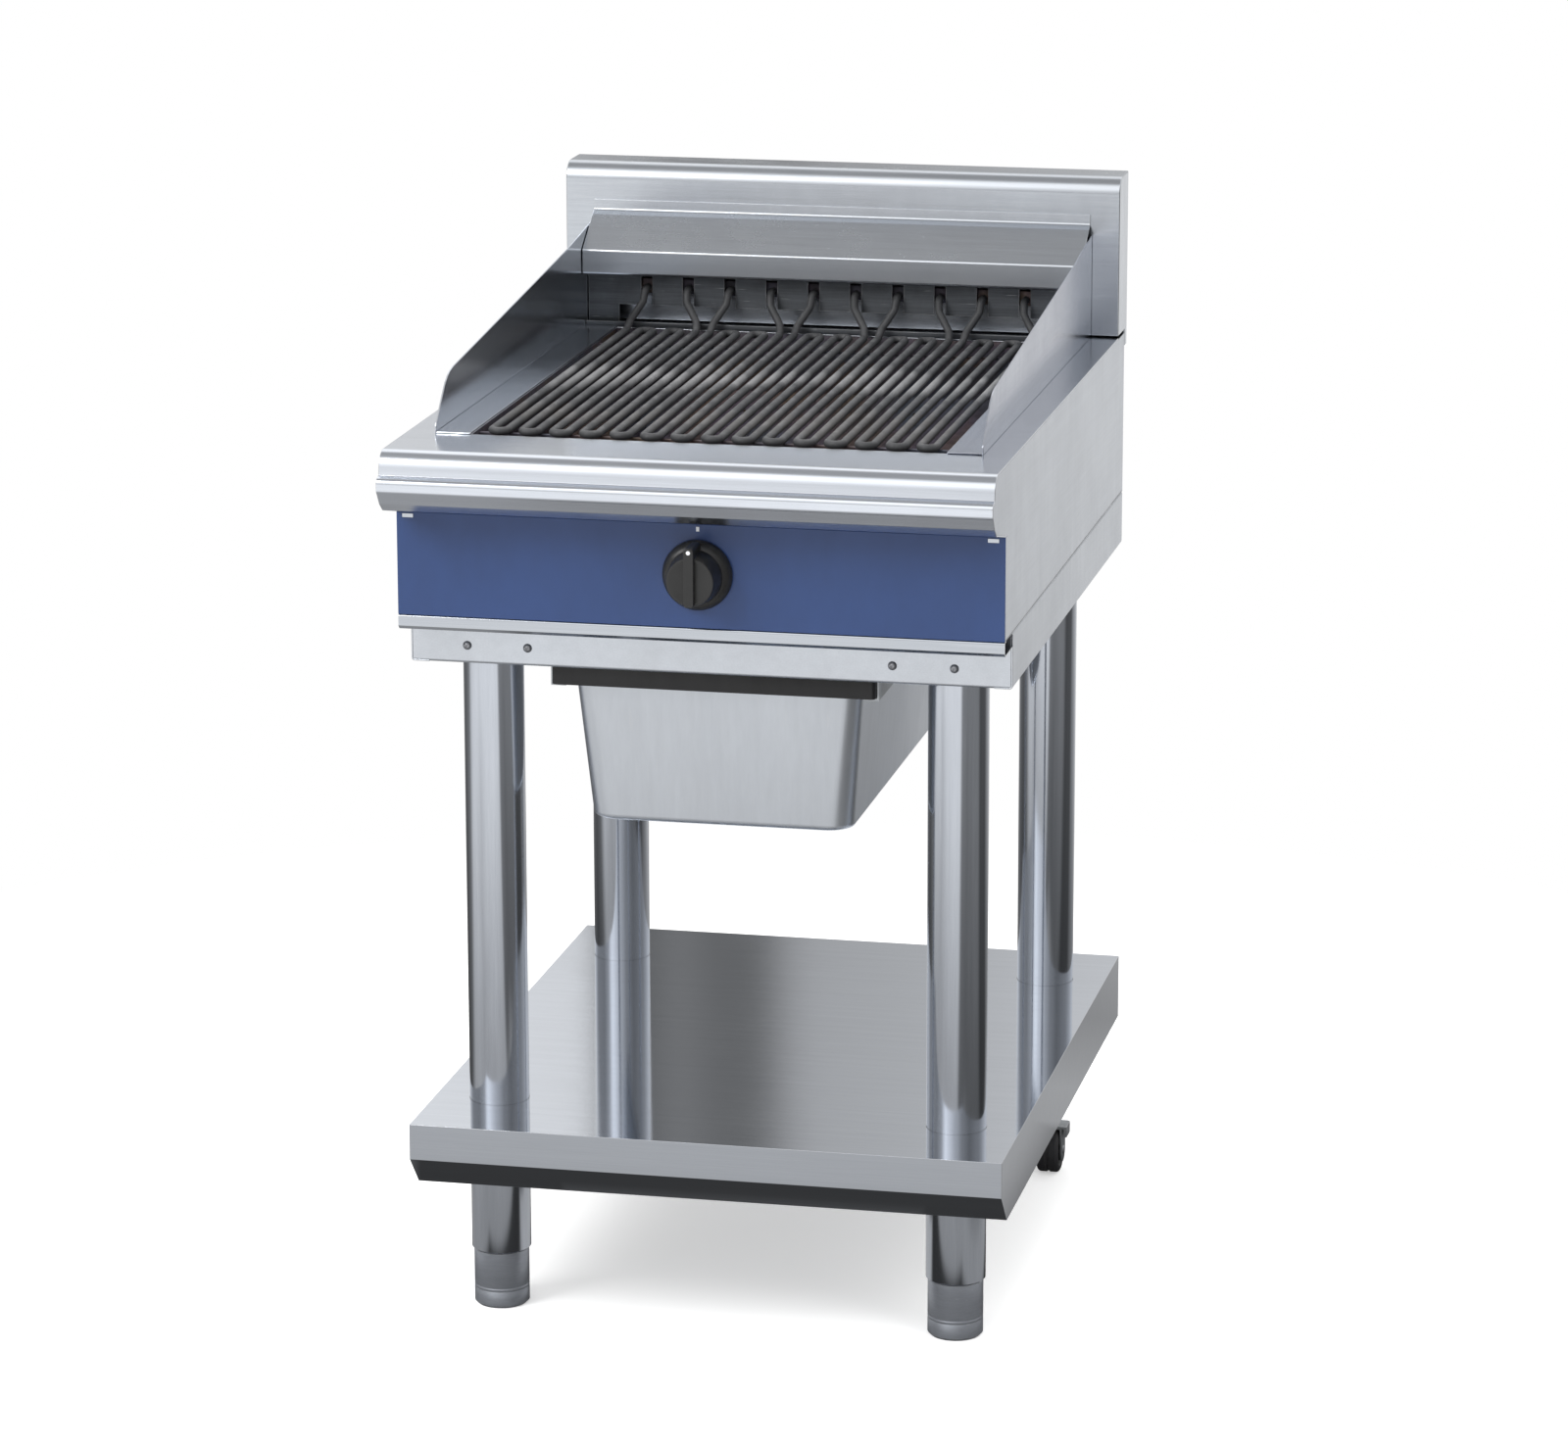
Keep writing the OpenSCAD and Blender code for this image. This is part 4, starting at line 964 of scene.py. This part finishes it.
def makeWheel(side):
    # a tread with a groove in the middle, hollow discs and a hub, mirrored about the wheel's middle
    node = "roller_wheel_" + side
    low, high = boxOf(node)
    form = rollerForm
    axleLow, axleHigh = boxOf("roller_axle_" + side)
    r, w = (high[2] - low[2]) / 2, (high[0] - low[0]) / 2
    bore = (axleHigh[2] - axleLow[2]) / 2 + form["clearance"]
    e, g, hub = form["edge"], form["groove"], form["hub"]
    flat, slope = form["grooveHalf"]
    outer, inner, hollow = form["disc"]
    foot, shoulder = form["hubStep"]
    edge = form["boreEdge"]
    tread = arcPoints((r - e, w - e), e, 0, 90, 5)
    half = np.vstack([[(r - g, 0), (r - g, flat), (r, slope)], tread,
                      [(r - outer, w), (r - inner, w - hollow), (hub + foot, w - hollow),
                       (hub + shoulder, w), (bore + edge, w), (bore, w - edge)]])
    profile = np.vstack([half, half[::-1] * (1, -1)])
    makePiece(node + "_moulded", [lathe(profile, middleOf(node), 0, 64)], "roller_nylon",
              body="wheel_" + side, replaced=[node])


forkForm = {"plate": 0.002, "gap": 0.0006, "crown": 0.0035, "over": 0.001, "half": (0.020, 0.013),
            "corner": 0.003, "lip": 0.009, "lipInset": 0.002, "stem": 0.010, "cap": 0.005, "capEdge": 0.0008,
            "legWall": 0.00165, "seat": 0.0001}


def makeFork(side):
    # a cap and plug in the leg, a stem, a crown with a turned-down lip, and two cheeks
    node, wheel, leg = "roller_bracket_" + side, "roller_wheel_" + side, "leg_rear_" + side
    f = forkForm
    low, high = boxOf(wheel)
    middle = middleOf(wheel)
    legLow, legHigh = boxOf(leg)
    y = middle[1]
    halfX, halfY = f["half"]
    crown = high[2] + f["over"]
    cheek = np.vstack([[(y + halfY, crown + 0.001)], [(y - halfY, crown + 0.001)],
                       arcPoints((y, middle[2]), halfY, 180, 360, 18)])
    inner = (high[0] - low[0]) / 2 + f["gap"]
    parts = []
    for sign in (-1, 1):
        near, far = sorted((sign * inner, sign * (inner + f["plate"])))
        parts.append(extrude(cheek, middle[0] + near, middle[0] + far, 0))
    corners = roundedOutline((middle[0] - halfX, middle[0] + halfX), (y - halfY, y + halfY), f["corner"], 4)
    parts.append(extrude(corners, crown, crown + f["crown"], 2))
    sign = 1 if side == "right" else -1
    edge = middle[0] + sign * halfX
    near, far = sorted((edge, edge - sign * f["plate"]))
    reach = halfY - f["lipInset"]
    parts.append(brick((near, y - reach, crown - f["lip"]), (far, y + reach, crown + 0.001)))
    wide, cap, c = (legHigh[0] - legLow[0]) / 2, legLow[2] - f["cap"], f["capEdge"]
    plug, seat, top = wide - f["legWall"], legLow[2] - f["seat"], boxOf(node)[1][2]
    post = [(0, crown), (f["stem"], crown), (f["stem"], cap), (wide - c, cap), (wide, cap + c),
            (wide, seat), (plug, seat), (plug, top), (0, top)]
    parts.append(lathe(post, ((legLow[0] + legHigh[0]) / 2, y, 0), 2, 56))
    makePiece(node + "_fork", parts, "zinc_steel", replaced=[node], bevel=0.0004)


def turnedRod(node, chamfer):
    # a round rod along x with both ends chamfered
    low, high = boxOf(node)
    span, r = (high[0] - low[0]) / 2, (high[2] - low[2]) / 2
    profile = [(0, -span), (r - chamfer, -span), (r, chamfer - span), (r, span - chamfer),
               (r - chamfer, span), (0, span)]
    return lathe(profile, middleOf(node), 0, 32)


def makeRoller(side):
    # a wheel, its fork and the axle between them
    makeWheel(side)
    makeFork(side)
    axle = "roller_axle_" + side
    makePiece(axle + "_pin", [turnedRod(axle, 0.001)], "zinc_steel", replaced=[axle])


makeRoller("left")
makeRoller("right")
print("stand built")

deckForm = {"thickness": 0.0016, "noseRadius": 0.017, "noseBack": 0.028, "ledge": (0.0095, 0.023),
            "lipRadius": 0.006, "lipDrop": 0.030, "curlRadius": 0.004, "curlDrop": 0.036, "under": 0.0001,
            # the dark underside: distance behind the nose, height over the panel's top
            "underside": [(0.010, 0.0196), (0.021, 0.0111)], "tuck": 0.012, "undersideRound": 0.002,
            "wellLip": 0.012, "combGap": 0.0002}


def deckLine(fine):
    # the deck's section from its rear edge, over the rolled nose and its lip, down to the control panel
    low, high = boxOf("hob_deck")
    form = deckForm
    nose, top = low[1], high[2]
    panelLow, panelHigh = boxOf("control_panel")
    under = panelHigh[2] + form["under"]
    curl = arcPoints((nose + form["curlRadius"], top - form["curlDrop"]), form["curlRadius"], 180, 230,
                     fine // 2)
    back = [(nose + a, panelHigh[2] + b) for a, b in form["underside"]]
    back += [(panelLow[1], under), (panelLow[1] + form["tuck"], under)]
    return np.vstack([
        [(high[1], top)],
        arcPoints((nose + form["noseBack"], top - form["noseRadius"]), form["noseRadius"], 90, 172, fine),
        [(nose + form["ledge"][0], top - form["ledge"][1])],
        arcPoints((nose + form["lipRadius"], top - form["lipDrop"]), form["lipRadius"], 110, 180, fine // 2),
        curl,
        roundCorners(np.vstack([curl[-1:], back]), form["undersideRound"], 3)[1:]])


def makeDeck():
    # the section carried across the width, without the cells over the well
    low, high = boxOf("hob_deck")
    halfWell = boxOf("element_rest")[1][0]
    frontCut = boxOf("well_liner")[0][1] + deckForm["wellLip"]
    rearCut = boxOf("slotted_panel")[0][1] - deckForm["combGap"]
    line = deckLine(14)
    cut = np.array([(rearCut, line[0][1]), (frontCut, line[0][1])])
    line = np.vstack([line[:1], cut, line[1:]])
    keep = np.ones((len(line) - 1, 3), bool)
    keep[1, 1] = False
    stations = [low[0], -halfWell, halfWell, high[0]]
    makePiece("hob_deck_pressed", [sheet(line, deckForm["thickness"], stations, keep)], "polished_stainless",
              replaced=["hob_deck"], bevel=0.0005, smooth=32)


makeDeck()

panelForm = {"edge": 0.0006, "tab": (0.011, 0.0008, 0.004), "tabInset": 0.006, "tabDrop": 0.0035,
             "tabGap": 0.00002}


def makeControlPanel():
    # an enamelled slab, with a small bright tab in each upper corner
    low, high = boxOf("control_panel")
    makePiece("control_panel_enamelled", [brick(low, high)], "blue_enamel", replaced=["control_panel"],
              bevel=panelForm["edge"], bevelSteps=3)
    width, out, tall = panelForm["tab"]
    tabs = []
    for sign in (-1, 1):
        x = sign * (high[0] - panelForm["tabInset"] - width / 2)
        z = high[2] - panelForm["tabDrop"]
        corner = (x + width / 2, low[1] - panelForm["tabGap"], z + tall / 2)
        tabs.append(brick((x - width / 2, low[1] - out, z - tall / 2), corner))
    makePiece("panel_corner_tabs", tabs, "bright_trim", bevel=0.0003)


makeControlPanel()

trimForm = {"thickness": 0.0012, "roll": 0.0024, "chamfer": 0.0035, "tuck": 0.008}


def makeTrim():
    # a bright strip with a rolled top, its lower edge turned in and folded back under the casing
    low, high = boxOf("lower_trim")
    y, top, bottom, rear = low[1], high[2], low[2], high[1]
    cut = trimForm["chamfer"]
    line = [(y + trimForm["tuck"], top), (y, top), (y, bottom + cut), (y + cut, bottom), (rear, bottom)]
    line = roundCorners(line, (trimForm["roll"], 0.0008, 0.0008), 6)
    makePiece("lower_trim_polished", [sheet(line, trimForm["thickness"], (low[0], high[0]))], "bright_trim",
              replaced=["lower_trim"], bevel=0.0003)


makeTrim()

splashForm = {"corner": 0.018, "edge": 0.0012, "foot": 0.0017, "hang": 0.0015}


def makeSplashback():
    # a closed upstand: its front edge is rolled and its foot hangs over the casing's rear
    low, high = boxOf("splashback")
    deckTop = boxOf("hob_deck")[1][2]
    front, rear, top = low[1], high[1], high[2]
    step = boxOf("rear_panel")[1][1] + splashForm["hang"]
    corner, foot = splashForm["corner"], deckTop + splashForm["foot"]
    outline = np.vstack([[(front, foot)], arcPoints((front + corner, top - corner), corner, 180, 90, 12),
                         [(rear, top), (rear, low[2]), (step, low[2]), (step, foot)]])
    makePiece("splashback_upstand", [extrude(outline, low[0], high[0], 0)], "back_stainless",
              replaced=["splashback"], bevel=splashForm["edge"], bevelSteps=3, smooth=30)


makeSplashback()

hoodForm = {"thickness": 0.0015, "bend": 0.0035, "upper": 0.011, "step": 0.015, "lean": 0.010, "fold": 0.085,
            "lip": 0.009}


def makeHood():
    # a folded plate: a strip on the splashback, a lean, a slope to the front, a face and a lip under it
    low, high = boxOf("element_cover")
    deckTop = boxOf("hob_deck")[1][2]
    back, top, front = high[1] - hoodForm["thickness"], high[2], low[1]
    splash = boxOf("splashback")[0][1]
    form = hoodForm
    line = [(back, top), (back, top - form["upper"]), (splash - form["lean"], top - form["step"]),
            (front, deckTop + form["fold"]), (front, low[2]), (front + form["lip"], low[2])]
    line = roundCorners(line, hoodForm["bend"], 5)
    makePiece("element_cover_hood", [sheet(line, hoodForm["thickness"], (low[0], high[0]))], "back_stainless",
              replaced=["element_cover"], bevel=0.0004, smooth=30)


makeHood()

guardForm = {"thickness": 0.0015, "rearGap": 0.002, "wellGap": 0.0005, "combGap": 0.0012,
             # outline from the front: distance behind the guard's front end, height over the deck
             "outline": [(0.0, 0.0), (0.0, 0.0078), (0.020, 0.0278), (0.036, 0.0428), (0.050, 0.0508),
                         (0.066, 0.0538)],
             "shoulder": (0.051, 0.096),  # before the hood, over the deck
             "radii": [0.0, 0.008, 0.03, 0.03, 0.03, 0.03, 0.12, 0.001, 0.0]}


def makeGuard(side):
    # an upright plate that rises to the splashback, and a flange on the deck inside it
    node = "guard_" + side
    low, high = boxOf(node)
    form = guardForm
    sign = 1 if side == "right" else -1
    outer = high[0] if side == "right" else low[0]
    inside = outer - sign * form["thickness"]
    start, foot, deckTop = low[1], low[2], boxOf("hob_deck")[1][2]
    rear = boxOf("splashback")[0][1] - form["rearGap"]
    back, rise = form["shoulder"]
    outline = [(start + a, foot + b) for a, b in form["outline"]]
    outline += [(boxOf("element_cover")[0][1] - back, deckTop + rise), (rear, high[2]), (rear, foot)]
    outline = roundCorners(outline, np.array(form["radii"]), 6, closed=True)
    upright = extrude(outline, min(inside, outer), max(inside, outer), 0)
    flangeEnd = sign * (boxOf("element_rest")[1][0] + form["wellGap"])
    flangeRear = boxOf("slotted_panel")[0][1] - form["combGap"]
    near, far = sorted((inside, flangeEnd))
    flange = brick((near, start, foot), (far, flangeRear, foot + form["thickness"]))
    # the right guard takes the darker copy of the steel as painted shade, the left one the polished steel
    finish = "right_guard_shaded_steel" if side == "right" else "polished_stainless"
    makePiece(node + "_plate", [upright, flange], finish, replaced=[node], bevel=0.0005, smooth=25)


makeGuard("left")
makeGuard("right")

elementCount = 5
combForm = {"thickness": 0.0015, "slot": 0.012, "slotRise": 0.018, "slotFoot": 0.023, "ledge": 0.0059,
            "bend": 0.002}


def makeSlottedPanel():
    # the comb behind the bars: an upright face with a slot for each tail, its feet and a ledge on the deck
    low, high = boxOf("slotted_panel")
    form = combForm
    t, half = form["thickness"], form["slot"] / 2
    faceY = high[1] - t
    deckTop = boxOf("hob_deck")[1][2]
    halfWell = boxOf("element_rest")[1][0]
    holders = np.array([middleOf("element_holder_%d" % k) for k in range(1, elementCount + 1)])
    centres = holders[:, 0]
    pitch = centres[1] - centres[0]
    tails = np.sort(np.concatenate([centres - pitch / 4, centres + pitch / 4]))
    slotTop = holders[0][2] + form["slotRise"]
    edges = (tails[:, None] + np.array([-half, half])).ravel()
    stations = np.concatenate([[low[0], -halfWell], edges, [halfWell, high[0]]])
    line = [(faceY, high[2]), (faceY, slotTop), (faceY, deckTop + form["slotFoot"]), (faceY, low[2])]
    middle = (stations[:-1] + stations[1:]) / 2
    inSlot = (np.abs(middle[:, None] - tails[None]) < half).any(1)
    keep = np.ones((3, len(middle)), bool)
    keep[1] = ~inSlot
    keep[2] = np.abs(middle) > halfWell
    face = sheet(line, t, stations, keep)
    foot = roundCorners([(high[1], low[2]), (low[1], low[2]), (low[1], low[2] + form["ledge"])],
                        form["bend"], 4)
    makePiece("slotted_panel_comb", [face, sheet(foot, -t, (low[0], high[0]))], "dull_stainless",
              replaced=["slotted_panel"], bevel=0.0003, smooth=30)


makeSlottedPanel()

backForm = {"inset": 0.016, "radius": 0.004, "height": 0.002, "columns": 4}


def makeBackScrews():
    # small domed screws in two rows on the rear panel
    low, high = boxOf("rear_panel")
    form = backForm
    inset, r = form["inset"], form["radius"]
    dome = np.vstack([[(0, 0)], arcPoints((0, 0), 1, 90, 0, 5) * (r, form["height"])]) + (0, high[1])
    spots = [(x, 0, z) for x in np.linspace(low[0] + inset, high[0] - inset, form["columns"])
             for z in (low[2] + inset, high[2] - inset)]
    makePiece("rear_panel_screws", [lathe(dome, spot, 1, 20) for spot in spots], "screw_steel")


makeBackScrews()
print("casing built")

elementForm = {"legs": 6, "radius": 0.004, "sides": 16, "bendSteps": 12, "rearBend": 0.044,
               "cornerRadius": 0.0085, "lift": 0.0012, "combWall": 0.0015}


def elementLine(low, high, pivot, tailOffset, faceY):
    # one tail, six straight legs joined by half circles in turn at the front and the rear, the other tail
    form = elementForm
    r = form["radius"]
    pitch = (high[0] - low[0] - 2 * r) / (form["legs"] - 1)
    barZ, front, rear = low[2] + r, low[1] + r, pivot[1] - form["rearBend"]
    legs = (np.arange(form["legs"]) - (form["legs"] - 1) / 2) * pitch
    angle = np.linspace(0, np.pi, form["bendSteps"] + 1)
    turns = np.arange(form["legs"] - 1)
    sign = np.where(turns % 2 == 0, -1, 1)
    centre = np.where(turns % 2 == 0, front + pitch / 2, rear - pitch / 2)
    bendX = (legs[:-1] + pitch / 2)[:, None] - pitch / 2 * np.cos(angle)
    bendY = centre[:, None] + sign[:, None] * pitch / 2 * np.sin(angle)
    bends = np.stack([bendX, bendY, np.full_like(bendX, barZ)], -1).reshape(-1, 3)
    top = pivot[2] - form["lift"]
    # a tail from its holder down to the bars: share of the sideways offset, y, z
    shape = np.array([(1, pivot[1] - 0.006, top), (1, faceY - 0.007, top - 0.001),
                      (0.92, faceY - 0.0125, top - 0.013), (0.12, rear + 0.0085, barZ + 0.009),
                      (0, rear - 0.002, barZ), (0, rear - 0.014, barZ)])

    def tail(end, sign):
        x = end + (sign * tailOffset - end) * shape[:, 0]
        return roundCorners(np.column_stack([x, shape[:, 1:]]), form["cornerRadius"], 6)

    line = np.vstack([tail(legs[0], -1), bends, tail(legs[-1], 1)[::-1]])
    return line + (pivot[0], 0, 0)


def makeElement(k):
    # one bent tube with both tails through the slotted panel
    node, holder = "heating_element_%d" % k, "element_holder_%d"
    low, high = boxOf(node)
    pitch = boxOf(holder % 2)[0][0] - boxOf(holder % 1)[0][0]
    faceY = boxOf("slotted_panel")[1][1] - elementForm["combWall"]
    line = elementLine(low, high, middleOf(holder % k), pitch / 4, faceY)
    keep = np.concatenate([[True], np.linalg.norm(np.diff(line, axis=0), axis=1) > 1e-5])
    makePiece(node + "_sheathed", [tube(line[keep], elementForm["radius"], elementForm["sides"])],
              "element_black", body="element_%d" % k, replaced=[node], smooth=60)


for k in range(1, elementCount + 1):
    makeElement(k)

holderForm = {"edge": 0.0012}


def makeHolder(k):
    # a block on the front bar that the tails turn in
    node = "element_holder_%d" % k
    low, high = boxOf(node)
    makePiece(node + "_block", [brick(low, high)], "burnt_steel", body="element_%d" % k, replaced=[node],
              bevel=holderForm["edge"], bevelSteps=3)


for k in range(1, elementCount + 1):
    makeHolder(k)

makePiece("hinge_shaft_turned", [turnedRod("hinge_shaft", 0.0008)], "zinc_steel", replaced=["hinge_shaft"])
print("heating elements built")

# radii of the knob's steps; depths run from its back, or from its tip for the face
knobForm = {"skirtEdge": 0.005, "skirtRound": 0.0006, "shoulder": 0.0315, "foot": 0.0085,
            "step": [(0.0295, 0.0102), (0.0270, 0.0112), (0.0262, 0.0135)],
            "face": [(0.0238, 0.0066), (0.0230, 0.0054), (0.0216, 0.005), (0.0198, 0.0054), (0.0, 0.0058)],
            "bore": 0.0031, "boreDepth": 0.006, "grip": (0.0100, 0.024, 0.034), "gripRound": 0.003}


def makeKnob():
    # a skirt, a round body with a dished face, and a pointer rib that reaches past the body to the skirt
    low, high = boxOf("control_knob")
    middle = middleOf("control_knob")
    back, tip, skirt = high[1], low[1], (high[0] - low[0]) / 2
    f = knobForm
    edge, r, bore, hole = back - f["skirtEdge"], f["skirtRound"], f["bore"], back - f["boreDepth"]
    profile = [(bore, back), (skirt - r, back), (skirt, back - r), (skirt, edge + 0.0015), (skirt - r, edge),
               (f["shoulder"], back - f["foot"])]
    profile += [(radius, back - depth) for radius, depth in f["step"]]
    profile += [(radius, tip + depth) for radius, depth in f["face"]]
    profile += [(0.0, hole), (bore, hole)]
    makePiece("control_knob_moulded", [lathe(profile, (middle[0], 0, middle[2]), 1, 72)], "knob_black",
              body="knob", replaced=["control_knob"], smooth=40)
    wide, below, above = f["grip"]
    rib = roundedOutline((middle[0] - wide / 2, middle[0] + wide / 2), (middle[2] - below, middle[2] + above),
                         f["gripRound"], 5)
    makePiece("knob_pointer_rib", [extrude(rib, tip, back - f["foot"], 1)], "knob_black", body="knob",
              bevel=0.0009, bevelSteps=3)


makeKnob()

dotForm = {"rim": 0.0002, "crown": (0.8, 0.00005)}


def makeKnobDot():
    # a flat inlay with a slightly domed face
    low, high = boxOf("knob_dot")
    middle = middleOf("knob_dot")
    r = (high[0] - low[0]) / 2
    share, drop = dotForm["crown"]
    profile = [(0, high[1]), (r, high[1]), (r, high[1] - dotForm["rim"]), (r * share, low[1] + drop),
               (0, low[1])]
    makePiece("knob_dot_inlay", [lathe(profile, (middle[0], 0, middle[2]), 1, 24)], "white_mark", body="knob",
              replaced=["knob_dot"])


makeKnobDot()
print("knob built")

panForm = {"wall": 0.0012, "rim": 0.0012, "rimWidth": 0.014, "rimCorner": 0.012, "rimEdge": 0.0006,
           "mouthCorner": 0.018, "mouthRound": 0.001, "taper": 0.0135, "floorRound": 0.0065, "steps": 8}


def makePan():
    # round rectangles that shrink down the tapered wall and round into the floor, then back up inside it
    low, high = boxOf("drip_pan")
    f = panForm
    rimTop = high[2]
    lip = rimTop - f["rim"]
    mouthX = high[0] - f["rimWidth"]
    mouthY = (low[1] + f["rimWidth"], high[1] - f["rimWidth"])
    n = f["steps"]
    depth = lip - low[2]
    down = f["floorRound"]

    def outline(inset, corner):
        return roundedOutline((-mouthX + inset, mouthX - inset), (mouthY[0] + inset, mouthY[1] - inset),
                              corner, n)

    def skin(wall, corner):
        # inset and height pairs: the wall's straight taper, then a quarter round into the floor
        angle = np.radians(np.linspace(0, 90, 9))
        inset = np.concatenate([[0.0], f["taper"] + down * (1 - np.cos(angle)), [f["taper"] + 0.03, 0.09]])
        fall = np.concatenate([[0.0], depth - down + down * np.sin(angle), [depth, depth]])
        return [(outline(i + wall, corner + 0.3 * min(i, 0.03)), lip - h + (wall if h > depth * 0.5 else 0.0))
                for i, h in zip(inset, fall)]

    outer = skin(0.0, f["mouthCorner"])
    inner = skin(f["wall"], f["mouthCorner"] - 0.001)
    e, corner = f["rimEdge"], f["rimCorner"]
    edge = roundedOutline((low[0], high[0]), (low[1], high[1]), corner, n)
    inset = roundedOutline((low[0] + e, high[0] - e), (low[1] + e, high[1] - e), corner - 0.0005, n)
    levels = outer[::-1] + [(edge, lip), (edge, rimTop - e / 2), (inset, rimTop)]
    levels += [(outline(-f["mouthRound"], f["mouthCorner"]), rimTop),
               (outline(f["wall"], f["mouthCorner"]), rimTop - f["rim"])]
    levels += inner[1:]
    makePiece("drip_pan_drawn", [loft(levels)], "pan_stainless", body="pan", replaced=["drip_pan"], smooth=50)


makePan()

carrierForm = {"corner": 0.004, "width": 0.014, "innerCorner": 0.002}


def makeCarrier():
    # a flat frame that the pan's rim hangs on
    low, high = boxOf("pan_carrier")
    w = carrierForm["width"]
    outer = roundedOutline((low[0], high[0]), (low[1], high[1]), carrierForm["corner"], 5)
    inner = roundedOutline((low[0] + w, high[0] - w), (low[1] + w, high[1] - w), carrierForm["innerCorner"],
                           5)
    makePiece("pan_carrier_frame", [ring(outer, inner, low[2], high[2])], "black_carrier", body="pan",
              replaced=["pan_carrier"], bevel=0.0008)


makeCarrier()

glandForm = {"across": 0.017, "bore": 0.009, "neck": 0.0125, "collar": 0.014, "collarFrom": 0.007,
             "nutHole": 0.0124, "nut": 0.007, "nuts": (0.0001, -0.009)}


def makeGland():
    # a bored neck with a collar at its outer end, and a hexagon nut on each side of the rear panel
    low, high = boxOf("cable_gland")
    x, wall, z = middleOf("cable_gland")[0], boxOf("rear_panel")[1][1], middleOf("cable_gland")[2]
    f = glandForm
    bore, thin, thick, start = f["bore"], f["neck"], f["collar"], wall + f["collarFrom"]
    neck = [(bore, high[1]), (thin, high[1]), (thick, high[1] - (thick - thin)), (thick, start),
            (thin, start - 0.001), (thin, low[1]), (bore, low[1])]
    parts = [lathe(neck, (x, 0, z), 1, 48)]
    for place in f["nuts"]:
        hexagon = arcPoints((x, z), f["across"], 0, 300, 5)
        hole = arcPoints((x, z), f["nutHole"], 0, 300, 5)
        parts.append(ring(hexagon, hole, wall + place, wall + place + f["nut"], 1))
    makePiece("cable_gland_moulded", parts, "dark_plastic", replaced=["cable_gland"], bevel=0.0005, smooth=30)


makeGland()
print("pan, carrier and gland built")

# the CAD nodes that stay in sight take the finish of their own slot
slotOf = {part["node"]: part["material_slot"] for part in frame["record"]["subparts"]}
for node, item in frame["nodes"].items():
    item.data.materials.clear()
    item.data.materials.append(finishes[slotOf[node]])
